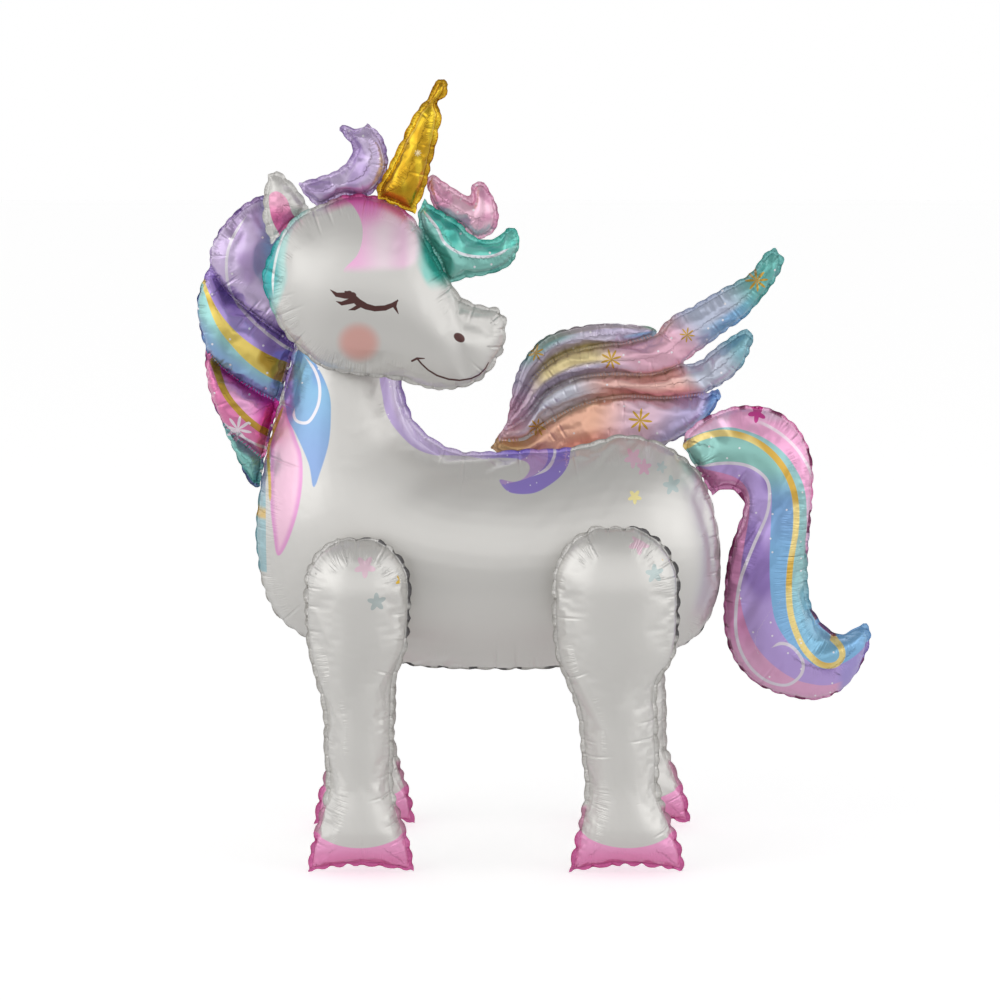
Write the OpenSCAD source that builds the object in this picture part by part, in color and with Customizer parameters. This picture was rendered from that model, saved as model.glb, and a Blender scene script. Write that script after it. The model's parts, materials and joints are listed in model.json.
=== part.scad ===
// A large standing foil-balloon unicorn. Every chamber is two film panels, a near one and a
// far one, heat-sealed to each other round the edge. The chambers are held to each other by
// adhesive dots, and each is filled through a self-sealing valve sleeve of its own.
// +X runs from the chest to the tail, +Y from the near side to the far side, +Z is up.
// The origin is on the floor, at the middle of the whole part.

/* [Film] */
// Thickness of one film panel, drawn thicker than the real film so that it is a solid
film = 1.2; // [0.8:0.1:1.6]
// Width of the heat seal round each chamber
seam = 7; // [6:0.5:9]
// Width of the seal lines between the lobes of the mane and the wing
lobe_seam = 6; // [4:0.5:8]
// Height of the air passage under those seal lines next to the root
passage = 5; // [3:0.5:8]

/* [Body] */
// Length of the trunk and neck, chest to rump
body_length = 664; // [620:2:700]
// Height of the neck, back and rump above the belly, as a share of the drawn one
body_depth = 1; // [0.94:0.01:1.06]
// How far each body panel bulges from the seam
body_bulge = 128; // [105:1:140]

/* [Legs] */
// Height of a fore leg
fore_leg_height = 477; // [450:1:500]
// Width of the round top of a fore leg
fore_leg_top = 150; // [130:1:165]
// Height of a hind leg
hind_leg_height = 494; // [465:1:520]
// Width of the round top of a hind leg
hind_leg_top = 179; // [155:1:195]
// Width of a fore leg at its narrowest
fore_leg_waist = 97; // [85:1:110]
// Width of a hind leg at its narrowest
hind_leg_waist = 108; // [95:1:125]
// Width of a fore hoof at the floor
fore_hoof = 151; // [130:1:165]
// Width of a hind hoof at the floor
hind_hoof = 163; // [140:1:180]
// How far each leg panel bulges from the seam
leg_bulge = 50; // [40:1:60]
// Place of the fore legs along the body
fore_leg_x = -248; // [-262:1:-236]
// Place of the hind legs along the body
hind_leg_x = 109; // [95:1:122]
// How far the far fore leg stands from the near one, towards the tail
fore_leg_far_shift = -6; // [-12:1:6]
// How far the far hind leg stands from the near one, towards the tail
hind_leg_far_shift = 24; // [0:1:28]
// How far a fore hoof stands ahead of its round top, towards the tail
fore_leg_lean = 3; // [-5:1:10]
// How far a hind hoof stands behind its round top, towards the tail
hind_leg_lean = 17; // [5:1:25]

/* [Head] */
// Length of the head, nape to muzzle
head_length = 341; // [310:1:370]
// How far the near head panel bulges
head_near_bulge = 92; // [75:1:105]
// How far the far head panel bulges, less than the near one because it lies on the neck
head_far_bulge = 42; // [30:1:48]
// Length of the horn
horn_length = 190; // [160:1:215]
// How far each horn panel bulges
horn_bulge = 24; // [16:1:30]
// How far each panel of the three forelocks bulges
forelock_bulge = 22; // [14:1:28]
// How far each ear panel bulges
ear_bulge = 15; // [8:1:20]

/* [Mane, wing and tail] */
// How far each mane panel bulges
mane_bulge = 38; // [25:1:42]
// Length of the wing from its root to its longest tip
wing_length = 420; // [380:2:460]
// How far each wing panel bulges
wing_bulge = 30; // [18:1:38]
// Height of the tail
tail_height = 424; // [390:2:450]
// How far each tail panel bulges
tail_bulge = 46; // [30:1:55]

/* [Joining] */
// Thickness of the adhesive dots between two seams
dot = 1.6; // [1.2:0.1:2.4]
// Radius of the small dots between two seams
dot_radius = 2; // [1.5:0.1:2.5]
// Radius of the foam pads between two bulging chambers
pad_radius = 8; // [5:0.5:10]
// Thickness of those pads where the chambers come closest
pad_depth = 5; // [4:0.5:8]
// Width of a valve sleeve
valve_width = 12; // [9:0.5:15]
// Length of the long valve sleeves, in the big chambers
valve_long = 70; // [50:1:90]
// Length of the short valve sleeves, in the ear, the horn and the forelocks
valve_short = 28; // [20:1:34]
// Thickness of a valve sleeve, both layers together
valve_depth = 1; // [0.8:0.1:1.2]

/* [Hidden] */

near = -1;
far = 1;
gap = 0.3;
free_gap = 0.8;
dot_inset = 2.6;
round_steps = 48;

// ---- Curves -------------------------------------------------------------------------------

function unit(v) = v / norm(v);
function between(a, b, t) = a + (b - a) * t;

// A smooth curve through the points p, with u from 0 to 1 along it
function curve(p, u) =
    let (n = len(p) - 1, s = min(floor(u * n), n - 1), t = u * n - s,
         a = p[max(s - 1, 0)], b = p[s], c = p[s + 1], d = p[min(s + 2, n)])
    b + (c - a) * (t / 2) + (a * 2 - b * 5 + c * 4 - d) * (t * t / 2)
      + (b * 3 - a - c * 3 + d) * (t * t * t / 2);

// The point one seam width from p towards q
function seam_in(p, q) = p + unit(q - p) * min(seam, 0.4 * norm(q - p));

// Stations along one side of a chamber of a single lobe, closer together at its ends
function station(i, n) = (i / n + (1 - cos(180 * i / n)) / 2) / 2;
function plain_side(p, n) =
    let (raw = [for (i = [0 : n]) curve(p, station(i, n))])
    [for (i = [0 : n]) i == 1 ? seam_in(raw[0], raw[2])
        : i == n - 1 ? seam_in(raw[n], raw[n - 2]) : raw[i]];

// Stations along one side of a lobe: k steps along the stretch next to another lobe or the
// root, and the rest along the free stretch out to the tip
function lobe_side(inner, k, outer, n) =
    let (a = [for (i = [0 : k]) curve(inner, i / k)],
         b = [for (i = [0 : n - k]) curve(outer, i / (n - k))],
         raw = concat(a, [for (i = [1 : n - k]) b[i]]))
    [for (i = [0 : n]) i == 1 ? seam_in(raw[0], raw[2])
        : i == n - 1 ? seam_in(raw[n], raw[n - 2]) : raw[i]];

// ---- Lobes --------------------------------------------------------------------------------

// A lobe is [side a, side b, stations that side a shares, the same for side b]
function lobe(a, b, shared_a = -1, shared_b = -1) = [a, b, shared_a, shared_b];
function plain_lobe(rows, n) =
    lobe(plain_side([for (r = rows) r[0]], n), plain_side([for (r = rows) r[1]], n));

function lower_of(a, b) = a * b / pow(pow(a, 4) + pow(b, 4), 0.25);
function round_end(d, width) = sqrt(1 - pow(1 - min(1, 2 * d / width), 2));
function middle(l, i) = (l[0][i] + l[1][i]) / 2;
function width(l, i) = norm(l[1][i] - l[0][i]);
function run(l, i, j) = i >= j ? 0 : norm(middle(l, i + 1) - middle(l, i)) + run(l, i + 1, j);

// Height of the crest of a lobe at station i
function crest(l, i, bulge, plump) =
    let (n = len(l[0]) - 1, w = width(l, i))
    i <= 1 || i >= n - 1 ? 0
    : lower_of(bulge, plump * w) * round_end(run(l, 1, i), w) * round_end(run(l, i, n - 1), w);

// The flat band beside side s of a lobe, measured along its rib so that the band keeps its
// width where the rib meets the edge at a slant, and its lift at the air passage
function cross_2d(a, b) = abs(a[0] * b[1] - a[1] * b[0]);
function band(l, i, s, shared) =
    let (n = len(l[0]) - 1, edge = unit(l[s][min(i + 1, n)] - l[s][max(i - 1, 0)]),
         slant = max(0.5, cross_2d(edge, unit(l[1 - s][i] - l[s][i]))))
    min((i <= shared ? lobe_seam / 2 : seam) / slant, 0.3 * width(l, i));
function lift(i, shared) = i <= shared && (i == 2 || i == 3) ? passage : 0;

// Outer skin of a lobe: rows of [x, z, height] over the seam plane, m steps across
function skin(l, bulge, plump, m) =
    let (n = len(l[0]) - 1)
    [for (i = [0 : n])
        let (w = width(l, i), a = band(l, i, 0, l[2]) / w, b = 1 - band(l, i, 1, l[3]) / w,
             top = crest(l, i, bulge, plump), la = lift(i, l[2]), lb = lift(i, l[3]))
        [for (j = [0 : m])
            let (turn = 180 * (j - 1) / (m - 2),
                 s = j == 0 ? 0 : j == m ? 1 : a + (b - a) * (1 - cos(turn)) / 2,
                 rise = j < 1 || j > m - 1 ? 0 : top * sin(turn),
                 p = between(l[0][i], l[1][i], s), base = between(la, lb, s))
            [p[0], p[1], max(rise, base)]]];

// Inner skin: the outer one moved in by the film, with its border on the seam plane
function flat_unit(v) = let (h = norm([v[0], v[1]])) h < 0.001 ? [0, 0] : [v[0], v[1]] / h;
function inner(g, l, i, j) =
    let (n = len(g) - 1, m = len(g[0]) - 1, o = g[i][j])
    i == 0 || i == n || j == 0 || j == m ? [o[0], o[1], o[2]]
    : i == 1 || i == n - 1 || j == 1 || j == m - 1
    ? let (di = i == 1 ? flat_unit(g[2][j] - o) : i == n - 1 ? flat_unit(g[n - 2][j] - o) : [0, 0],
           dj = j == 1 ? flat_unit(g[i][2] - o) : j == m - 1 ? flat_unit(g[i][m - 2] - o) : [0, 0])
      [o[0] + film * (di[0] + dj[0]), o[1] + film * (di[1] + dj[1]), o[2]]
    : let (c = cross(g[i + 1][j] - g[i - 1][j], g[i][j + 1] - g[i][j - 1]),
           u = unit(c) * (c[2] < 0 ? -1 : 1))
      [o[0] - film * u[0], o[1] - film * u[1], o[2] + film - film * u[2]];

// ---- Film panels --------------------------------------------------------------------------

function quad(a, b, c, d, flip) = flip ? [[a, b, c], [a, c, d]] : [[c, b, a], [d, c, a]];

// One lobe's share of a panel: outer skin, inner skin, and a wall round its free edge
function lobe_points(l, g, plane, side) =
    let (n = len(g) - 1, m = len(g[0]) - 1)
    concat(
        [for (i = [0 : n], j = [0 : m]) [g[i][j][0], plane + side * (g[i][j][2] + film), g[i][j][1]]],
        [for (i = [0 : n], j = [0 : m]) let (q = inner(g, l, i, j)) [q[0], plane + side * q[2], q[1]]]);

function turns_left(g) =
    let (i = floor(len(g) / 2), m = len(g[0]) - 1,
         a = g[i][m] - g[i][0], b = g[i + 1][0] - g[i][0])
    a[0] * b[1] - a[1] * b[0] > 0;

function lobe_faces(l, g, side, first) =
    let (n = len(g) - 1, m = len(g[0]) - 1, w = m + 1, low = first + (n + 1) * w,
         flip = turns_left(g) == (side > 0))
    concat(
        [for (i = [0 : n - 1], j = [0 : m - 1], f = quad(first + i * w + j, first + i * w + j + 1,
            first + (i + 1) * w + j + 1, first + (i + 1) * w + j, flip)) f],
        [for (i = [0 : n - 1], j = [0 : m - 1], f = quad(low + i * w + j, low + i * w + j + 1,
            low + (i + 1) * w + j + 1, low + (i + 1) * w + j, !flip)) f],
        [for (i = [0 : n - 1], f = i < l[2] ? [] : quad(first + i * w, first + (i + 1) * w,
            low + (i + 1) * w, low + i * w, flip)) f],
        [for (i = [0 : n - 1], f = i < l[3] ? [] : quad(first + i * w + m, first + (i + 1) * w + m,
            low + (i + 1) * w + m, low + i * w + m, !flip)) f],
        [for (j = [0 : m - 1], f = quad(first + j, first + j + 1, low + j + 1, low + j, !flip)) f],
        [for (j = [0 : m - 1], f = quad(first + n * w + j, first + n * w + j + 1,
            low + n * w + j + 1, low + n * w + j, flip)) f]);

function lobe_size(g) = 2 * len(g) * len(g[0]);
function sizes_before(skins, k) = k == 0 ? 0 : lobe_size(skins[k - 1]) + sizes_before(skins, k - 1);

// A chamber is [lobes, near skins, far skins, seam plane]
function chamber(lobes, near_bulge, far_bulge, plump, m, plane = 0) =
    [lobes, [for (l = lobes) skin(l, near_bulge, plump, m)],
     [for (l = lobes) skin(l, far_bulge, plump * far_bulge / near_bulge, m)], plane];

module film_panel(c, side) {
    skins = side == near ? c[1] : c[2];
    polyhedron(
        points = [for (k = [0 : len(skins) - 1], p = lobe_points(c[0][k], skins[k], c[3], side)) p],
        faces = [for (k = [0 : len(skins) - 1],
            f = lobe_faces(c[0][k], skins[k], side, sizes_before(skins, k))) f]);
}

// ---- Seating one chamber on another -------------------------------------------------------

// Height over the seam plane of a skin at [x, z], or 0 beside it
function side_of(a, b, p) = (b[0] - a[0]) * (p[1] - a[1]) - (b[1] - a[1]) * (p[0] - a[0]);
function over(a, b, c, p) =
    let (u = side_of(b, c, p), v = side_of(c, a, p), w = side_of(a, b, p), s = u + v + w)
    abs(s) < 1e-6 ? 0
    : u / s >= 0 && v / s >= 0 && w / s >= 0 ? (a[2] * u + b[2] * v + c[2] * w) / s : 0;
function cell_height(g, i, j, p) =
    let (a = g[i][j], b = g[i][j + 1], c = g[i + 1][j + 1], d = g[i + 1][j])
    p[0] < min(a[0], b[0], c[0], d[0]) || p[0] > max(a[0], b[0], c[0], d[0])
    || p[1] < min(a[1], b[1], c[1], d[1]) || p[1] > max(a[1], b[1], c[1], d[1]) ? 0
    : max(over(a, b, c, p), over(a, c, d, p));
function height_at(skins, p) =
    max([for (g = skins, i = [0 : len(g) - 2], j = [0 : len(g[0]) - 2]) cell_height(g, i, j, p)]);

// The least distance between two seam planes at which the skins between them just meet
function inside(q, low, high) = q[0] > low[0] && q[0] < high[0] && q[1] > low[1] && q[1] < high[1];
function nodes_on(a, b) =
    let (x = [for (g = b, row = g, q = row) q[0]], z = [for (g = b, row = g, q = row) q[1]],
         low = [min(x), min(z)], high = [max(x), max(z)])
    [0, for (g = a, row = g, q = row) if (inside(q, low, high))
        let (h = height_at(b, [q[0], q[1]])) h > 0 ? q[2] + h : 0];
function meeting(a, b) = max(concat(nodes_on(a, b), nodes_on(b, a)));

// The highest point of a skin under a disc of radius r round p
function top_at(skins, p, r) =
    max([height_at(skins, p),
        for (a = [0 : 30 : 330], k = [0.5, 1]) height_at(skins, p + r * k * [cos(a), sin(a)])]);

// A round pad from y_low to y_high at [x, z]
module pad_between(p, y_low, y_high, radius) {
    translate([p[0], y_low, p[1]]) rotate([-90, 0, 0])
        cylinder(r = radius, h = y_high - y_low, $fn = round_steps);
}

// ---- Outlines, drawn at the sizes above ---------------------------------------------------

body_k = [body_length / 664, body_depth];
belly = 262;
function on_body(p) = [p[0] * body_k[0], belly + (p[1] - belly) * body_k[1]];
function rows_on_body(rows) = [for (r = rows) [on_body(r[0]), on_body(r[1])]];

// Neck top, neck, chest and belly on one side; neck, back and rump on the other
body_rows = rows_on_body([
    [[-312, 834], [-240, 836]],
    [[-334, 762], [-211, 768]],
    [[-353, 690], [-197, 702]],
    [[-375, 612], [-185, 646]],
    [[-393, 530], [-163, 604]],
    [[-401, 440], [-116, 576]],
    [[-378, 345], [-62, 573]],
    [[-305, 292], [-15, 576]],
    [[-190, 265], [30, 577]],
    [[-60, 258], [74, 585]],
    [[60, 262], [120, 597]],
    [[160, 274], [170, 588]],
    [[224, 302], [214, 562]],
    [[253, 345], [243, 524]],
    [[262, 395], [259, 460]]]);
body_chamber = chamber([plain_lobe(body_rows, 20)], body_bulge, body_bulge, 0.46, 10);

// Legs: a round top, a waist and a wide hoof
function leg_row(x, z, half) = [[x - half, z], [x + half, z]];
function leg_rows(x, height, top, waist, hoof, lean) =
    let (r = top / 2, under = height - top)
    concat(
        [for (a = [22, 45, 68, 90]) leg_row(x, height - r + r * cos(a), r * sin(a))],
        [leg_row(x, under, r * 0.95),
         leg_row(x - 0.02 * top, under * 0.84, waist * 0.59),
         leg_row(x + lean * 0.2, under * 0.70, waist * 0.52),
         leg_row(x + lean * 0.4, under * 0.54, waist * 0.51),
         leg_row(x + lean * 0.6, under * 0.39, waist * 0.49),
         leg_row(x + lean * 0.8, under * 0.26, waist * 0.25 + hoof * 0.22),
         leg_row(x + lean, under * 0.12, hoof * 0.465),
         leg_row(x + lean, 0, hoof / 2)]);
function fore_leg_lobe(shift) = plain_lobe(leg_rows(fore_leg_x + shift, fore_leg_height,
    fore_leg_top, fore_leg_waist, fore_hoof, fore_leg_lean), 12);
function hind_leg_lobe(shift) = plain_lobe(leg_rows(hind_leg_x + shift, hind_leg_height,
    hind_leg_top, hind_leg_waist, hind_hoof, hind_leg_lean), 12);
function leg_chamber(l, plane) = chamber([l], leg_bulge, leg_bulge, 0.52, 8, plane);
near_legs = [leg_chamber(fore_leg_lobe(0), 0), leg_chamber(hind_leg_lobe(0), 0)];
far_legs = [leg_chamber(fore_leg_lobe(fore_leg_far_shift), 0),
    leg_chamber(hind_leg_lobe(hind_leg_far_shift), 0)];
leg_plane = 2 * film + pad_depth
    + max([for (leg = concat(near_legs, far_legs)) meeting(body_chamber[1], leg[2])]);

// Head, from the nape to the muzzle: brow on one side, jaw on the other
head_seat = [-268, 742];
head_k = head_length / 341;
function on_head(p) = on_body(head_seat) + (p - head_seat) * head_k;
function rows_on_head(rows) = [for (r = rows) [on_head(r[0]), on_head(r[1])]];
head_rows = rows_on_head([
    [[-381, 834], [-380, 812]],
    [[-371, 858], [-368, 780]],
    [[-355, 886], [-352, 748]],
    [[-333, 911], [-330, 724]],
    [[-300, 927], [-300, 700]],
    [[-262, 941], [-262, 689]],
    [[-223, 939], [-224, 685]],
    [[-190, 926], [-190, 680]],
    [[-164, 900], [-165, 673]],
    [[-143, 863], [-140, 667]],
    [[-123, 826], [-114, 668]],
    [[-104, 799], [-92, 674]],
    [[-76, 787], [-72, 685]],
    [[-53, 783], [-57, 704]],
    [[-41, 768], [-44, 724]]]);
head_lobe = plain_lobe(head_rows, 15);
head_draft = chamber([head_lobe], head_near_bulge, head_far_bulge, 0.4, 10);
head_plane = -(2 * film + pad_depth + meeting(body_chamber[1], head_draft[2]));
seam_step = 2 * film + dot;
front_plane = head_plane - seam_step;
back_plane = head_plane + seam_step;
rear_plane = back_plane + seam_step;
head_chamber = chamber([head_lobe], head_near_bulge, head_far_bulge, 0.4, 10, head_plane);

// Horn, from its base on the brow to the nub at its tip
horn_seat = [-195, 922];
horn_k = horn_length / 190;
function on_horn(p) = on_head(horn_seat) + (p - horn_seat) * horn_k;
horn_rows = [for (r = [
    [[-221, 934], [-169, 913]],
    [[-224, 948], [-161, 932]],
    [[-211, 972], [-152, 955]],
    [[-195, 1002], [-142, 996]],
    [[-181, 1031], [-134, 1030]],
    [[-167, 1056], [-131, 1052]],
    [[-153, 1072], [-137, 1065]],
    [[-147, 1081], [-125, 1076]],
    [[-143, 1093], [-121, 1089]],
    [[-136, 1099], [-127, 1100]]]) [on_horn(r[0]), on_horn(r[1])]];
horn_chamber = chamber([plain_lobe(horn_rows, 11)], horn_bulge, horn_bulge, 0.42, 6, front_plane);

// Lilac forelock, from its tip by the ear to its two prongs behind the horn
lilac_rows = rows_on_head([
    [[-331, 956], [-323, 941]],
    [[-302, 964], [-301, 922]],
    [[-280, 972], [-268, 936]],
    [[-264, 983], [-238, 935]],
    [[-257, 997], [-217, 950]],
    [[-260, 1012], [-205, 976]],
    [[-268, 1025], [-210, 1002]],
    [[-268, 1036], [-232, 1022]],
    [[-262, 1039], [-246, 1038]]]);
lilac_chamber = chamber([plain_lobe(lilac_rows, 10)], forelock_bulge, forelock_bulge, 0.42, 6,
    back_plane);

// Teal forelock, from the horn down the brow and out to its curl
teal_rows = rows_on_head([
    [[-155, 935], [-165, 915]],
    [[-146, 926], [-163, 893]],
    [[-127, 914], [-150, 869]],
    [[-106, 900], [-135, 842]],
    [[-92, 885], [-124, 817]],
    [[-72, 877], [-98, 822]],
    [[-53, 882], [-70, 827]],
    [[-42, 893], [-46, 835]],
    [[-30, 893], [-31, 848]],
    [[-24, 882], [-24, 866]]]);
teal_chamber = chamber([plain_lobe(teal_rows, 10)], forelock_bulge, forelock_bulge, 0.42, 6,
    back_plane);

// Pink forelock, over the teal one, with its prong turned up
pink_rows = rows_on_head([
    [[-152, 963], [-152, 949]],
    [[-144, 968], [-141, 917]],
    [[-127, 957], [-124, 905]],
    [[-106, 943], [-105, 893]],
    [[-93, 937], [-85, 876]],
    [[-91, 951], [-60, 886]],
    [[-84, 958], [-52, 910]],
    [[-72, 957], [-58, 933]]]);
pink_chamber = chamber([plain_lobe(pink_rows, 10)], forelock_bulge, forelock_bulge, 0.42, 6,
    rear_plane);

// Ear, from its base behind the nape to its tip
ear_rows = rows_on_head([
    [[-368, 870], [-314, 921]],
    [[-377, 893], [-323, 937]],
    [[-380, 913], [-335, 952]],
    [[-378, 942], [-347, 966]],
    [[-372, 968], [-360, 973]]]);
ear_chamber = chamber([plain_lobe(ear_rows, 8)], ear_bulge, ear_bulge, 0.36, 6, back_plane);

// Mane: four lobes between five lines that run from its root out to its edge
mane_k = 4;
mane_n = 7;
mane_top = [[-349, 898], [-362, 924], [-384, 935], [-408, 925], [-432, 904]];
mane_tip = [[-432, 904], [-448, 884], [-459, 863]];
mane_line_1 = [[-340, 721], [-371, 745], [-404, 771], [-438, 802], [-459, 837]];
mane_line_2 = [[-363, 641], [-385, 651], [-409, 665], [-440, 688], [-467, 716]];
mane_line_3 = [[-385, 558], [-398, 569], [-412, 581], [-428, 594], [-444, 611]];
mane_low = [[-391, 520], [-398, 518], [-406, 524], [-416, 540], [-426, 565]];
mane_low_tip = [[-426, 565], [-432, 578], [-438, 591]];
function body_side(inner, k, outer, n) =
    lobe_side([for (p = inner) on_body(p)], k, [for (p = outer) on_body(p)], n);
mane_lobes = [
    lobe(body_side(mane_top, mane_k, mane_tip, mane_n),
        body_side(mane_line_1, mane_k, [[-459, 837], [-461, 842], [-462, 849]], mane_n),
        -1, mane_k),
    lobe(body_side(mane_line_1, mane_k, [[-459, 837], [-470, 817], [-479, 790]], mane_n),
        body_side(mane_line_2, mane_k, [[-467, 716], [-474, 737], [-478, 764]], mane_n),
        mane_k, mane_k),
    lobe(body_side(mane_line_2, mane_k, [[-467, 716], [-469, 703], [-468, 684]], mane_n),
        body_side(mane_line_3, mane_k, [[-444, 611], [-456, 633], [-464, 660]], mane_n),
        mane_k, mane_k),
    lobe(body_side(mane_line_3, mane_k, [[-444, 611], [-444, 607], [-442, 602]], mane_n),
        body_side(mane_low, mane_k, mane_low_tip, mane_n),
        mane_k, -1)];
mane_chamber = chamber(mane_lobes, mane_bulge, mane_bulge, 0.42, 6, seam_step);

// Wing: four lobes from its root along the back, three of them ending in long tips
wing_seat = [60, 556];
wing_k = wing_length / 420;
function on_wing(p) = on_body(wing_seat) + (p - wing_seat) * wing_k;
function wing_side(inner, k, outer, n) =
    lobe_side([for (p = inner) on_wing(p)], k, [for (p = outer) on_wing(p)], n);
wing_shared = 6;
wing_top = [[-40, 617], [-35, 648], [-28, 678], [-12, 706], [14, 731], [55, 745], [105, 750]];
wing_top_tip = [[105, 750], [148, 747], [168, 744]];
wing_line_1 = [[-43, 605], [-24, 637], [2, 677], [38, 704], [85, 717], [130, 722], [172, 734]];
wing_line_2 = [[-50, 594], [-18, 612], [16, 650], [60, 671], [110, 677], [165, 677], [211, 692]];
wing_line_3 = [[-58, 583], [-18, 584], [20, 610], [70, 634], [125, 645], [185, 643], [243, 649]];
wing_low = [[-66, 570], [-34, 554], [10, 552], [60, 556], [110, 566], [150, 567], [184, 573]];
wing_tip_1a = [[172, 734], [190, 757], [225, 776], [265, 799], [305, 822], [324, 848], [340, 859]];
wing_tip_1b = [[211, 692], [238, 713], [268, 735], [298, 757], [322, 784], [345, 815], [355, 842]];
wing_tip_2a = [[211, 692], [232, 696], [260, 718], [285, 735], [302, 743]];
wing_tip_2b = [[243, 649], [263, 659], [287, 678], [303, 701], [313, 730]];
wing_tip_3a = [[243, 649], [253, 655], [262, 657]];
wing_tip_3b = [[184, 573], [236, 602], [266, 643]];
wing_lobes = [
    lobe(wing_side(wing_top, wing_shared, wing_top_tip, 8),
        wing_side(wing_line_1, wing_shared, [[172, 734], [174, 737], [175, 740]], 8),
        -1, wing_shared),
    lobe(wing_side(wing_line_1, wing_shared, wing_tip_1a, 11),
        wing_side(wing_line_2, wing_shared, wing_tip_1b, 11), wing_shared, wing_shared),
    lobe(wing_side(wing_line_2, wing_shared, wing_tip_2a, 9),
        wing_side(wing_line_3, wing_shared, wing_tip_2b, 9), wing_shared, wing_shared),
    lobe(wing_side(wing_line_3, wing_shared, wing_tip_3a, 8),
        wing_side(wing_low, wing_shared, wing_tip_3b, 8), wing_shared, -1)];
wing_draft = chamber(wing_lobes, wing_bulge, wing_bulge, 0.5, 6);
wing_plane = 2 * film + dot + meeting(body_chamber[2], [wing_draft[1][3]]);
wing_chamber = chamber(wing_lobes, wing_bulge, wing_bulge, 0.5, 6, wing_plane);

// Tail, from its root behind the rump to its curled end
tail_seat = [233, 533];
tail_k = tail_height / 424;
tail_rows = [for (r = [
    [[208, 580], [250, 509]],
    [[212, 599], [261, 516]],
    [[229, 615], [270, 518]],
    [[253, 628], [280, 516]],
    [[285, 638], [290, 508]],
    [[322, 637], [295, 495]],
    [[353, 624], [291, 478]],
    [[377, 599], [284, 456]],
    [[392, 562], [277, 437]],
    [[394, 510], [271, 405]],
    [[389, 445], [268, 370]],
    [[388, 390], [267, 338]],
    [[393, 354], [270, 310]],
    [[409, 326], [278, 283]],
    [[434, 310], [295, 256]],
    [[452, 317], [325, 232]],
    [[471, 326], [362, 219]],
    [[479, 306], [395, 214]],
    [[469, 272], [426, 221]],
    [[457, 250], [443, 234]]])
    [on_body(tail_seat) + (r[0] - tail_seat) * tail_k,
     on_body(tail_seat) + (r[1] - tail_seat) * tail_k]];
tail_chamber = chamber([plain_lobe(tail_rows, 19)], tail_bulge, tail_bulge, 0.4, 8, seam_step);

// ---- Small parts --------------------------------------------------------------------------

// A valve sleeve: two layers of film with a channel between them, just inside the root seam
function inner_skin(c, k) = let (g = c[2][k])
    [for (i = [0 : len(g) - 1]) [for (j = [0 : len(g[0]) - 1]) inner(g, c[0][k], i, j)]];
function valve_start(skins, p, way) =
    let (half = [-way[1], way[0]] * valve_width / 2)
    [for (d = [1 : 0.5 : 40])
        if (min(height_at(skins, p + way * d + half), height_at(skins, p + way * d - half))
            > valve_depth / 2 + gap) d][0];
module valve_sleeve(c, k, length) {
    l = c[0][k];
    start = middle(l, 1);
    way = unit(middle(l, 3) - start);
    translate([start[0], c[3], start[1]])
        rotate([0, -atan2(way[1], way[0]), 0])
            translate([valve_start([inner_skin(c, k)], start, way), 0, 0]) difference() {
                translate([0, -valve_depth / 2, -valve_width / 2])
                    cube([length, valve_depth, valve_width]);
                translate([-1, -valve_depth / 5, -valve_width / 3])
                    cube([length + 2, valve_depth * 2 / 5, valve_width * 2 / 3]);
            }
}

// Two pads that carry one leg, between its inner panel and the body
module pads_of_leg(leg, x, height, top, side) {
    for (z = [height - top * 0.36, height - top * 0.60]) {
        p = [x, z];
        body_y = top_at(body_chamber[1], p, pad_radius) + film + gap / 2;
        leg_y = leg_plane - top_at(leg[2], p, pad_radius) - film - gap / 2;
        pad_between(p, side == near ? -leg_y : body_y, side == near ? -body_y : leg_y, pad_radius);
    }
}

// A dot on the seam between planes a and b
module seam_dot(p, a, b) {
    pad_between(p, a + film, b - film, dot_radius);
}

// Places for a dot: on the root seam of a lobe, a share t across it, and on the seam along
// its side s, at station i
function on_seam(p, q) = p + unit(q - p) * dot_inset;
function root_place(l, t) =
    on_seam(between(l[0][0], l[1][0], t), between(l[0][1], l[1][1], t));
function side_place(l, s, i) = on_seam(l[s][i], l[1 - s][i]);

white = [0.93, 0.93, 0.92];
lilac = [0.80, 0.72, 0.90];
pink = [0.94, 0.68, 0.80];
teal = [0.45, 0.80, 0.76];
gold = [0.85, 0.68, 0.15];
film_clear = [0.85, 0.86, 0.88];

module body_near_panel() { color(white) film_panel(body_chamber, near); }
module body_far_panel() { color(white) film_panel(body_chamber, far); }
module body_valve() { color(film_clear) valve_sleeve(body_chamber, 0, valve_long); }

// One leg's chamber at its own seam plane
fore_leg_near = leg_chamber(fore_leg_lobe(0), -leg_plane);
fore_leg_far = leg_chamber(fore_leg_lobe(fore_leg_far_shift), leg_plane);
hind_leg_near = leg_chamber(hind_leg_lobe(0), -leg_plane);
hind_leg_far = leg_chamber(hind_leg_lobe(hind_leg_far_shift), leg_plane);
module leg_panel(leg, side) { color(white) film_panel(leg, side); }
module fore_leg_near_outer_panel() { leg_panel(fore_leg_near, near); }
module fore_leg_near_inner_panel() { leg_panel(fore_leg_near, far); }
module fore_leg_far_inner_panel() { leg_panel(fore_leg_far, near); }
module fore_leg_far_outer_panel() { leg_panel(fore_leg_far, far); }
module hind_leg_near_outer_panel() { leg_panel(hind_leg_near, near); }
module hind_leg_near_inner_panel() { leg_panel(hind_leg_near, far); }
module hind_leg_far_inner_panel() { leg_panel(hind_leg_far, near); }
module hind_leg_far_outer_panel() { leg_panel(hind_leg_far, far); }
module leg_valve(leg) { color(film_clear) valve_sleeve(leg, 0, valve_long); }
module fore_leg_near_valve() { leg_valve(fore_leg_near); }
module fore_leg_far_valve() { leg_valve(fore_leg_far); }
module hind_leg_near_valve() { leg_valve(hind_leg_near); }
module hind_leg_far_valve() { leg_valve(hind_leg_far); }
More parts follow.
